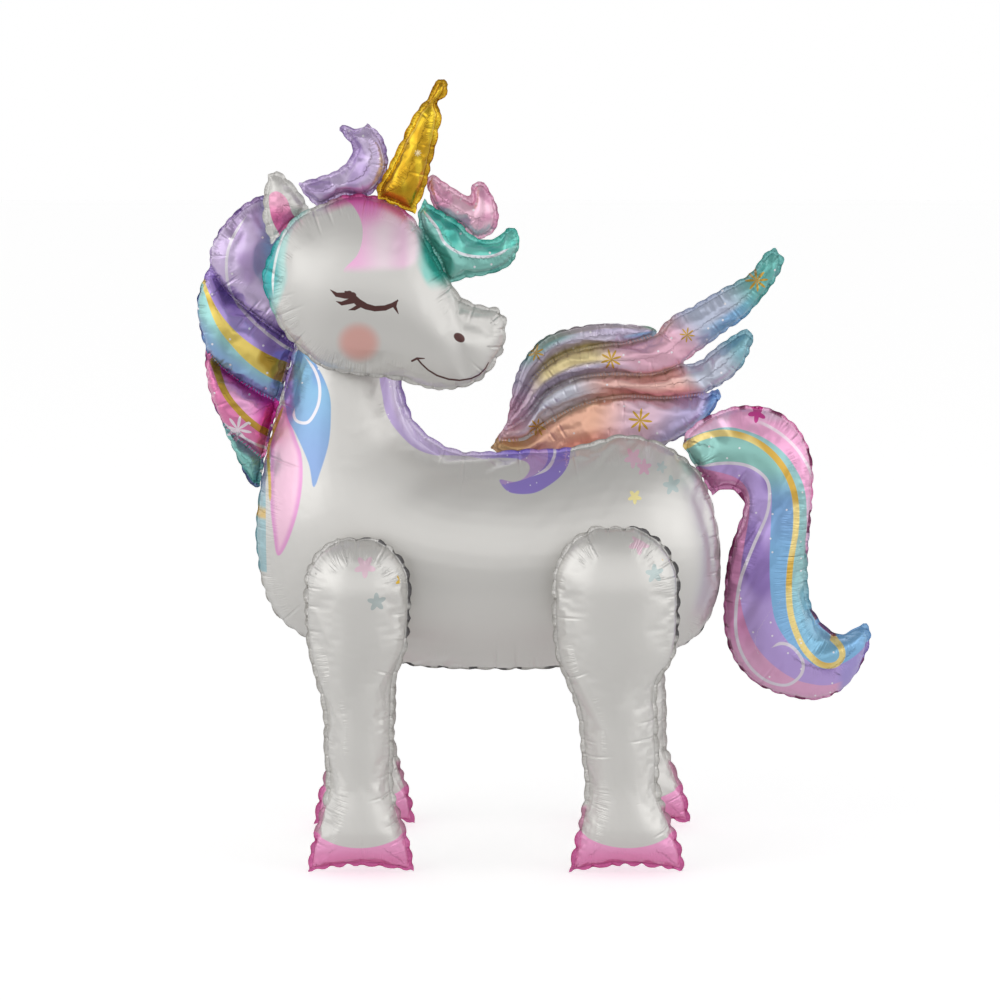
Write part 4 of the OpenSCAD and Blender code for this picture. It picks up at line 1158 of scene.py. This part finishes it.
def dress(piece, material):
    piece.data.materials.clear()
    piece.data.materials.append(material)


# ---- Finishes ------------------------------------------------------------------------------

WHITE = 0xDCDAD6
# Painted shade: the colour of the shade and of the dark reflections painted on the seal of the
# white film
WHITE_SEAL_SHADE = 0x4E4C50         # of the seal of the white film


def white_film():
    """The body: a ribbon down its neck that ends in a curl, locks of the mane, small stars."""
    paint = Paint("satin_white_film_body")
    x, _, z = paint.place()
    deep, past_curl = paint.drawn("ribbon_edge")[0], paint.drawn("curl_inside")[0]
    ribbon = paint.coats(
        paint.over(deep.rise(-16.0, -3.0), 0xC4B0DE, 0xE2D4F2),
        (deep.rise(0.0, 6.0), 0xAD97CE),
        (x.rise(-90.0, -30.0), 0xA08CDC),
        ((1.0 - paint.inside("curl_inside")) * x.rise(-60.0, -40.0) * z.rise(590.0, 575.0)
         * past_curl.rise(-24.0, -23.0), 0xC9A8DC),
        (paint.stroke("curl_line", 4.0, 0.3), 0xEAE2EE))
    ribbon = paint.sprinkle(x, z, ribbon, 0.5, 14.0, 0.9)
    pink_lock = paint.over(paint.drawn("pink_lock")[0].rise(2.0, 9.0), 0xE6A4D4, 0xF8CCE2)
    chest = paint.coats(
        paint.over(z.rise(560.0, 500.0), 0xB9A8D0, 0xA9CBD2),
        (z.rise(500.0, 490.0) * z.rise(478.0, 484.0), 0xDCBE7C),
        ((z - 590.0).size().rise(30.0, 22.0), 0xE5A0CC))
    chest_edge = paint.drawn("edge_print")[0].rise(0.5, -0.5) * paint.near("edge_print")
    blue_lock = paint.coats(
        paint.over(z.rise(560.0, 700.0), 0x8FACDA, 0x8CBEDE),
        (z.rise(660.0, 690.0) * x.rise(-318.0, -310.0), 0x7FA4D6),
        (x.rise(-338.0, -347.0) * z.rise(610.0, 640.0), 0xB79AD8))
    blue_lock = paint.sprinkle(x, z, blue_lock, 0.2, 22.0, 1.2)
    blue_lock = paint.over(paint.stroke("blue_lock_line", 4.2, 0.12), blue_lock, 0xE8E4EA)
    colour = paint.coats(
        WHITE,
        (paint.inside("ribbon"), ribbon),
        (paint.inside("pink_lock", 1.0), pink_lock),
        (chest_edge * z.rise(402.0, 405.0), chest),
        (paint.stroke("gold_thread", 4.5, 0.1), 0xE3C26A),
        (paint.inside("blue_lock", 0.7), blue_lock))
    colour = paint.small_stars(x, z, colour, (
        ((136, 569), 13, 0xF4C4DC, 0.4, 0.75), ((151, 557), 11, 0xF0B6D4, 1.0, 0.75),
        ((137, 519), 10, 0xFFF2AE, 0.3, 1.0), ((190, 532), 13, 0xB7CBCB, 0.8, 0.75),
        ((176, 556), 8, 0xC3D3D2, 0.1, 0.75)))
    # painted shade on the body's seal; its dark painted reflections only low on the belly and at
    # the back of the rump
    return paint.film(colour, WHITE_SEAL_SHADE, 0.55, 0.38, crease=0.8, dark=0.85, plenty=0.50, sheen=0.06,
                      where=z.rise(345.0, 320.0).most(x.rise(228.0, 240.0)))


def leg_film(name, shift, hoof_x, stars):
    """A leg: stars at its top, kept off the seal, a pink hoof, and painted shade on the seal of
    the hoof.
    """
    paint = Paint(name)
    x, _, z = paint.place()
    x = x - shift
    gap = paint.drawn("seal")[0]
    colour = paint.small_stars(x, z, WHITE, stars, gap.rise(7.0, 8.5))
    dip = (x - hoof_x) / 62.0
    hoof = paint.over((z - 20.0).rise(0.0, 30.0), 0xF096C6, 0xF9ACD7)
    colour = paint.coats(
        colour,
        ((z - (44.0 + dip * dip * 14.0)).rise(0.6, -0.6), hoof),
        # painted shade: the seal of the hoof in darker magenta
        (gap.rise(0.5, -0.5) * (z - 95.0).rise(4.0, -4.0) * 0.6, 0xC4368C))
    # painted shade on the seal; its dark painted reflections only on the rear side of the leg's
    # round top
    return paint.film(colour, WHITE_SEAL_SHADE, 0.55, 0.38, crease=0.8, dark=0.9, plenty=0.44, sheen=0.06,
                      where=(x - hoof_x).rise(-25.0, 5.0) * z.rise(310.0, 340.0))


def head_film():
    """The head: a teal lock behind, a pink patch at the horn, and the sleeping face."""
    paint = Paint("satin_white_film_head")
    x, y, z = paint.place()
    gap = paint.drawn("seal")[0]
    band = paint.drawn("head_lock")[0]
    lock = paint.coats(
        paint.over(band.rise(4.0, 22.0), 0xBFE4DF, 0x3FBCBE),
        (paint.stroke("head_lock_line", 3.6, 0.2), 0xEDF4F4))
    patch = paint.drawn("forehead")[0]
    soft = patch.rise(-1.0, 11.0) * x.rise(-235.0, -210.0)
    crisp = patch.rise(-0.8, 0.8) * x.rise(-210.0, -235.0)
    pink = paint.coats(
        paint.over(x.rise(-255.0, -205.0), 0xFEC2EA, 0xFBE8F1),
        (z.rise(890.0, 925.0) * x.rise(-190.0, -230.0), 0xF092D0),
        (x.rise(-215.0, -180.0) * x.rise(-170.0, -185.0) * 0.6, 0xF1BBE0))
    front = gap.rise(25.0, 17.0) * z.rise(808.0, 832.0) * x.rise(-170.0, -152.0)
    colour = paint.coats(
        WHITE,
        (band.rise(-3.0, 5.0), lock),
        ((soft + crisp).least(1.0) * z.rise(834.0, 850.0), pink),
        (gap.rise(12.0, 0.0) * z.rise(900.0, 915.0) * x.rise(-300.0, -270.0)
         * x.rise(-150.0, -175.0) * 0.8, 0xD8509E),
        (front, paint.over(gap.rise(3.0, 14.0), 0x2FAE9F, 0x8FD3C9)),
        (paint.spot(x, z, (-245, 740), 24.0, 23.5, 0.0, 0.42) * 0.8, 0xEAA89D))
    strokes = [
        [(-262, 811, 3.0), (-257, 808, 9.5), (-245, 797, 10.0), (-234, 791, 8.5),
         (-222, 788, 7.6), (-208, 789, 7.4), (-198, 793, 6.2), (-191, 799, 2.4)],
        [(-283, 814, 0.6), (-274, 807, 6.0), (-263, 806, 8.5), (-252, 806, 9.5)],
        [(-275, 798, 0.6), (-267, 795, 5.5), (-250, 800, 9.0)],
        [(-258, 786, 0.6), (-250, 788, 5.0), (-240, 794, 6.5)],
        [(-191, 800, 1.4), (-195, 791, 5.0), (-190, 781, 1.0)],
        [(-165, 718, 2.6), (-159, 710, 2.4), (-150, 701, 2.4), (-138, 693, 2.6),
         (-122, 687, 2.8), (-107, 685, 2.6), (-91, 687, 2.4), (-80, 692, 2.2),
         (-71, 701, 1.8), (-67, 709, 1.2)],
        [(-172, 714, 3.0), (-165, 718, 3.2), (-155, 718, 1.4)]]
    face = paint.spot(x, z, (-107, 746), 8.4, 5.6, -0.65, 0.10)
    for stops in strokes:
        face = face.most(paint.brush(x, z, stops))
    colour = paint.over(face * y.rise(-95.0, -97.0), colour, 0x553230)
    # 0x8E8E90 is the painted shade of the seal and of its dark painted reflections
    return paint.film(colour, 0x8E8E90, 0.43, 0.42, sheen=0.06,
                      fine=gap.rise(30.0, 18.0) * (x * 0.8 + z).rise(515.0, 490.0))


def ear_film():
    paint = Paint("satin_white_film_ear")
    z = paint.place()[2]
    pink = paint.over(z.rise(932.0, 908.0), 0xF2B0CC, 0xDD6FA6)
    colour = paint.over(paint.inside("ear_pink"), WHITE, pink)
    # 0xA8A8AA is the painted shade of the seal and of its dark painted reflections
    return paint.film(colour, 0xA8A8AA, 0.50, 0.42, crease=0.5, sheen=0.06)


def mane_film():
    """The mane: each of its four lobes has a print of its own."""
    paint = Paint("printed_film_mane")
    x, _, z = paint.place()
    flow, across = paint.flow()
    blotch = paint.blotches(60.0, 60.0)
    top, low, thread, silver = (paint.drawn(name)[0] for name in (
        "gold_top", "gold_low", "gold_thread", "silver_thread"))
    first = paint.coats(
        paint.over(blotch.rise(0.46, 0.58), 0xD2BEE2, 0xB49AC8),
        (x.rise(-395.0, -370.0) * z.rise(800.0, 840.0), 0x8FA3CE),
        (flow.rise(0.22, 0.04) * z.rise(800.0, 760.0), 0x6E4E96))
    teal_tone = paint.coats(
        paint.over(across.rise(0.55, 0.9), 0x9FD4D0, 0x8FB2DC),
        (flow.rise(1.80, 1.97), 0x3F86BC))
    second = paint.coats(
        paint.over(blotch.rise(0.40, 0.60), 0xB9A0E2, 0x9D83CF),
        (top.rise(0.5, -0.5), paint.over(blotch.rise(0.44, 0.56), 0xEBD06A, 0xB8932E)),
        (low.rise(0.5, -0.5), teal_tone))
    third = paint.coats(
        paint.over(across.rise(0.02, 0.22), 0xDC3CA4, 0xF5B0DC),
        (flow.rise(2.30, 2.05), 0xD42E98),
        (thread.rise(0.5, -0.5), 0xE683B4),
        ((thread.size() - 4.5).rise(0.5, -0.5), 0xC09A38))
    fourth = paint.over(across.rise(0.5, 0.95), 0x86C7C0, 0x3D9C92)
    colour = paint.coats(
        paint.lobes(flow, first, second, third, fourth),
        (paint.stroke("white_swirl", 4.2, 0.12), 0xE9E2EC),
        ((silver.size() - 2.0).rise(0.5, -0.5) * flow.rise(1.99, 2.0), 0xE6D6E2),
        (paint.star(x, z, (-421, 606), 20, 0.2, 8, 0.10), 0xF2E4EE))
    colour = paint.sprinkle(x, z, colour, 0.3, 24.0, 1.6)
    # 0x54337E is the dark purple painted shade of the seal and of its dark painted reflections
    return paint.film(colour, 0x54337E, 0.58, 0.32, dark=0.75, plenty=0.48, seal_shading=0.12)


def tail_film():
    """The tail: bands from the pink inside to the pink outside, parted by drawn lines."""
    paint = Paint("printed_film_tail")
    x, _, z = paint.place()
    inner, blue, yellow, outer = (paint.drawn(name)[0] for name in (
        "pink_inside", "purple_blue", "yellow", "pink_outside"))
    blotch = paint.blotches(70.0, 110.0)
    blue_band = paint.coats(
        paint.over(z.rise(560.0, 500.0), 0x96CCC4, 0x80AAD8),
        (z.rise(480.0, 430.0), 0x8ABEEA))
    colour = paint.coats(
        paint.over(z.rise(330.0, 270.0), 0xE096C6, 0xE6AED2),
        (inner.rise(-0.5, 0.5), paint.over(blotch.rise(0.45, 0.58), 0xC2A8E6, 0x9C80C6)),
        (blue.rise(-0.5, 0.5), blue_band),
        (yellow.rise(-0.5, 0.5), paint.over(z.rise(420.0, 300.0), 0x9CCBCD, 0x8CC4E4)),
        (outer.rise(-0.5, 0.5) * z.rise(405.0, 415.0),
         paint.over(blotch.rise(0.50, 0.60), 0xFFD2F0, 0xFAB4DC)),
        ((outer - 17.0).size().rise(2.6, 1.8) * z.rise(505.0, 530.0)
         * x.rise(300.0, 330.0) * 0.8, 0xF6EAF3),
        (paint.star(x, z, (312, 628), 13, 0.5, 5, 0.45), 0xD9489E),
        (z.rise(300.0, 290.0) * x.rise(425.0, 440.0) * blue.rise(1.0, -1.0), 0xAFA0DF),
        (paint.stroke("yellow", 9.0), paint.over(blotch.rise(0.5, 0.6), 0xF7DF92, 0xDDB24A)),
        (paint.stroke("white_line", 4.6, 0.05), 0xE6DDEA))
    colour = paint.sprinkle(x, z, colour, 0.3, 22.0, 1.4)
    fine = yellow.size().rise(24.0, 16.0) * z.rise(505.0, 480.0) * x.rise(465.0, 450.0)
    # 0x761650 is the dark magenta painted shade of the seal and of its dark painted reflections
    return paint.film(colour, 0x761650, 0.50, 0.34, dark=0.85, plenty=0.52, seal_shading=0.04,
                      fine=fine * outer.rise(4.0, -2.0).most(z.rise(405.0, 395.0)))


def wing_film():
    """The wing: each lobe changes its tone from the root to the tip."""
    paint = Paint("printed_film_wing")
    x, _, z = paint.place()
    flow, across = paint.flow()
    gap = paint.drawn("seal")[0]
    middle = flow.rise(0.25, 0.36) * flow.rise(0.62, 0.50)
    first = paint.coats(
        paint.over(flow.rise(0.04, 0.22), 0xD9A6BE, 0xD0C6DA),
        (middle * across.rise(0.5, 0.2), 0x96B9B9),
        (middle * across.rise(0.6, 0.9), 0xD6CB9C),
        (flow.rise(0.60, 0.68), 0xD2C6E2),
        (flow.rise(0.62, 0.72) * across.rise(0.62, 0.80), 0x92BFE8),
        (flow.rise(0.84, 0.93), 0x74BDB0))
    second = paint.coats(
        paint.over(flow.rise(1.05, 1.20), 0xE0B8CC, 0xD2C6DA),
        (flow.rise(1.12, 1.22) * flow.rise(1.50, 1.32) * across.rise(0.62, 0.38), 0xF0DCA4),
        (flow.rise(1.34, 1.46), 0xF0BCD0),
        (flow.rise(1.58, 1.68), 0xC4CCE2),
        (flow.rise(1.60, 1.76) * across.rise(0.52, 0.70), 0x86B4DE),
        (flow.rise(1.74, 1.86), 0x6FBDB6))
    third = paint.coats(
        paint.over(flow.rise(2.05, 2.20), 0xEBC0C6, 0xD9DAE6),
        (flow.rise(2.30, 2.42), 0xF6C4BA),
        (flow.rise(2.40, 2.50) * across.rise(0.45, 0.75), 0xEEA2A0),
        (flow.rise(2.60, 2.70), 0xC9CFE0),
        (flow.rise(2.80, 2.90), 0x8CBFCC))
    fourth = paint.coats(
        paint.over(flow.rise(3.10, 3.26), 0xDDB27E, 0xF7BFA4),
        (flow.rise(3.26, 3.36) * across.rise(0.4, 0.8), 0xF29C88),
        (flow.rise(3.40, 3.56), 0xE8C6D8),
        (flow.rise(3.60, 3.72), 0xC8BCE6),
        (flow.rise(3.80, 3.90), 0x7CA6E0))
    # Painted shade: a dull gold-brown tone along the seals between the lobes
    groove_shade = gap.rise(3.5, 0.5) * x.rise(205.0, 190.0) * x.rise(-20.0, 30.0)
    colour = paint.over(groove_shade * 0.35, paint.lobes(flow, first, second, third, fourth), 0xB09A66)
    for centre, radius, turn in (
            ((0, 709), 12, 0.3), ((107, 700), 15, 0.5), ((149, 613), 17, 0.1),
            ((314, 812), 16, 0.7), ((2, 602), 13, 0.2), ((215, 735), 11, 0.9)):
        colour = paint.over(paint.star(x, z, centre, radius, turn, 8, 0.06), colour, 0xCFA43C)
    colour = paint.sprinkle(x, z, colour, 0.35, 24.0, 1.6)
    # 0x8F9BB4 is the painted shade of the seal and of its dark painted reflections
    return paint.film(colour, 0x8F9BB4, 0.48, 0.34, seal_shading=0.06)


def forelock_film(name, light, deep, shade, line=None):
    """A forelock in one ink, with a white line where one is drawn."""
    paint = Paint(name)
    x, _, z = paint.place()
    colour = paint.over(paint.blotches(30.0, 30.0).rise(0.42, 0.60), light, deep)
    if line:
        colour = paint.coats(colour, (paint.drawn(line)[0].rise(1.0, -1.0), 0x8CCCC2),
                             (paint.stroke(line, 4.0, 0.1), 0xE2E4EA))
    colour = paint.sprinkle(x, z, colour, 0.3, 22.0, 1.6)
    # shade is the painted shade of the seal and of its dark painted reflections
    return paint.film(colour, shade, 0.55, 0.30, crease=0.6, grain=0.5, dark=0.55, seal_shading=0.10)


def gold_film():
    paint = Paint("gold_film_horn")
    x, _, z = paint.place()
    colour = paint.coats(
        paint.over(paint.blotches(22.0, 60.0).rise(0.42, 0.58), 0xE6C232, 0xC79A1E),
        (paint.star(x, z, (-164, 998), 5, 0.0, 8, 0.3), 0xF1DCB4))
    # 0x9A7418 is the painted shade of the seal and of its dark painted reflections
    return paint.film(colour, 0x9A7418, 0.88, 0.24, crease=0.35, grain=0.6, dark=0.55, seal_shading=0.10)


def sleeve_film():
    """Clear soft film of the valve sleeves, with fine ribs and a little haze."""
    paint = Paint("clear_film_valve_sleeve")
    haze = paint.blotches(9.0, 9.0, 2.0)
    return paint.finish(paint.blotches(1.5, 18.0) * 0.3,
                        Base_Color=paint.over(haze.rise(0.35, 0.65), 0xE4E9EC, 0xF2F4F5),
                        Roughness=haze * 0.2 + 0.2, Transmission_Weight=0.35, IOR=1.5)


def adhesive_foam():
    """White closed-cell foam of the sticky pads and dots."""
    paint = Paint("adhesive_foam_white")
    x, y, z = paint.place()
    cells = paint.node("ShaderNodeTexVoronoi", {}, {
        "Vector": paint.join(x / 1.6, y / 1.6, z / 1.6), "Scale": 1.0, "Randomness": 1.0})
    stain = paint.blotches(12.0, 12.0, 2.0)
    return paint.finish(cells * 0.35,
                        Base_Color=paint.over(stain.rise(0.3, 0.7), 0xE6E4DF, 0xF1F0ED),
                        Roughness=stain * 0.15 + 0.72)


dress(body, white_film())
dress(head, head_film())
dress(ear, ear_film())
dress(mane, mane_film())
dress(tail, tail_film())
dress(wing, wing_film())
dress(horn, gold_film())
# the last ink of each forelock is the painted shade of its seal
dress(lilac, forelock_film("printed_film_lilac_forelock", 0xD6C4E6, 0xBBA4D2, 0x8468A6))
dress(pink, forelock_film("printed_film_pink_forelock", 0xF4C6DA, 0xE2A2C2, 0xB0648E))
dress(teal, forelock_film("printed_film_teal_forelock", 0x7FDCCE, 0x4FBFB2, 0x1E8A82,
                          "teal_line"))
FORE_STARS = (((-236, 436), 15, 0xEBC3D6, 0.3, 0.75), ((-186, 415), 9, 0xE0B63C, 0.2, 1.0),
              ((-220, 388), 13, 0xA9B8B8, 0.9, 0.75))
HIND_STARS = (((140, 467), 15, 0xEBC3D6, 0.3, 0.75), ((180, 447), 9, 0xE0B63C, 0.2, 1.0),
              ((161, 426), 13, 0xB4C8C8, 0.9, 0.75))
for piece, name, shift, hoof_x, stars in (
        (fore_near, "fore_near", 0.0, -245, FORE_STARS),
        (fore_far, "fore_far", -6.0, -245, FORE_STARS),
        (hind_near, "hind_near", 0.0, 126, HIND_STARS),
        (hind_far, "hind_far", 24.0, 126, HIND_STARS)):
    dress(piece, leg_film("satin_white_film_" + name, shift, hoof_x, stars))

# The CAD nodes that stay as they are
sleeve, foam = sleeve_film(), adhesive_foam()
for name, node in frame["nodes"].items():
    if name.endswith(("_valve", "_pads", "_pad", "_dots")):
        for spot in node.material_slots:
            spot.material = sleeve if name.endswith("_valve") else foam

# ---- Floor, backdrop, lamps and camera -----------------------------------------------------

bpy.ops.object.select_all(action="DESELECT")
bpy.ops.mesh.primitive_plane_add(size=40, location=(0, 0, cad_box[0].z))
floor = bpy.context.object
floor.name = "floor"
bpy.ops.object.transform_apply(location=True, rotation=True, scale=True)


def seen_by(paint, *rays):
    """For each kind of ray, 1 where such a ray looks at the surface."""
    return [paint.node("ShaderNodeLightPath", {}, [], f"Is {ray} Ray") for ray in rays]


def floor_paint():
    """A pale floor, greyer in front, that looks white and keeps the shadow."""
    paint = Paint("pale_floor")
    x, y, _ = paint.place()
    mat = y.rise(-500.0, -1300.0) * y.rise(-4600.0, -2600.0) * x.size().rise(1800.0, 800.0)
    camera_ray, glossy, through = seen_by(paint, "Camera", "Glossy", "Transmission")
    glow = paint.node("ShaderNodeEmission", {}, {
        "Color": (1, 1, 1, 1),
        "Strength": (camera_ray + through + glossy * 0.35).least(1.0) * (mat * 0.40 + 0.50)})
    matt = paint.node("ShaderNodeBsdfDiffuse", {}, {"Color": paint.over(mat, 0xE8E8E8, 0x808080)})
    both = paint.node("ShaderNodeAddShader", {}, [glow, matt])
    paint.node("ShaderNodeOutputMaterial", {}, {0: both})
    return paint.material


dress(floor, floor_paint())


def studio():
    """A pale room all round, darker overhead, that looks white where it is seen itself."""
    world = bpy.data.worlds.new("studio")
    bpy.context.scene.world = world
    world.use_nodes = True
    room = Paint("studio", world.node_tree)
    height = room.split(room.node("ShaderNodeTexCoord", {}, [], "Generated"))[2]
    wall = 1.15 - height.rise(0.25, 0.85) * 0.80
    camera_ray, through = seen_by(room, "Camera", "Transmission")
    power = camera_ray.most(through) * (1.0 - wall) + wall
    back = room.node("ShaderNodeBackground", {}, {"Color": (1, 1, 1, 1), "Strength": power})
    room.node("ShaderNodeOutputWorld", {}, {0: back})


def lamp(name, place, aim, size, watts):
    bpy.ops.object.light_add(type="AREA", location=place)
    light = bpy.context.object
    light.name = name
    light.data.shape = "RECTANGLE"
    light.data.size, light.data.size_y = size
    light.data.energy = watts
    light.rotation_euler = (Vector(aim) - Vector(place)).to_track_quat("-Z", "Y").to_euler()


lamp("key", (-3.8, -2.4, 2.2), (0, 0, 0.5), (4.0, 3.4), 30)
lamp("fill", (3.8, -1.8, 1.9), (0, 0, 0.5), (3.5, 3.4), 20)
studio()

ELEVATION = math.radians(7)
DISTANCE = 5.6
AIM = Vector((-0.051, 0, 0.503))
bpy.ops.object.camera_add()
camera = bpy.context.object
camera.location = AIM + DISTANCE * Vector((0, -math.cos(ELEVATION), math.sin(ELEVATION)))
camera.rotation_euler = (AIM - camera.location).to_track_quat("-Z", "Y").to_euler()
camera.data.lens = 142
camera.data.sensor_width = 36
bpy.context.scene.camera = camera
bpy.context.scene.view_settings.view_transform = "Standard"
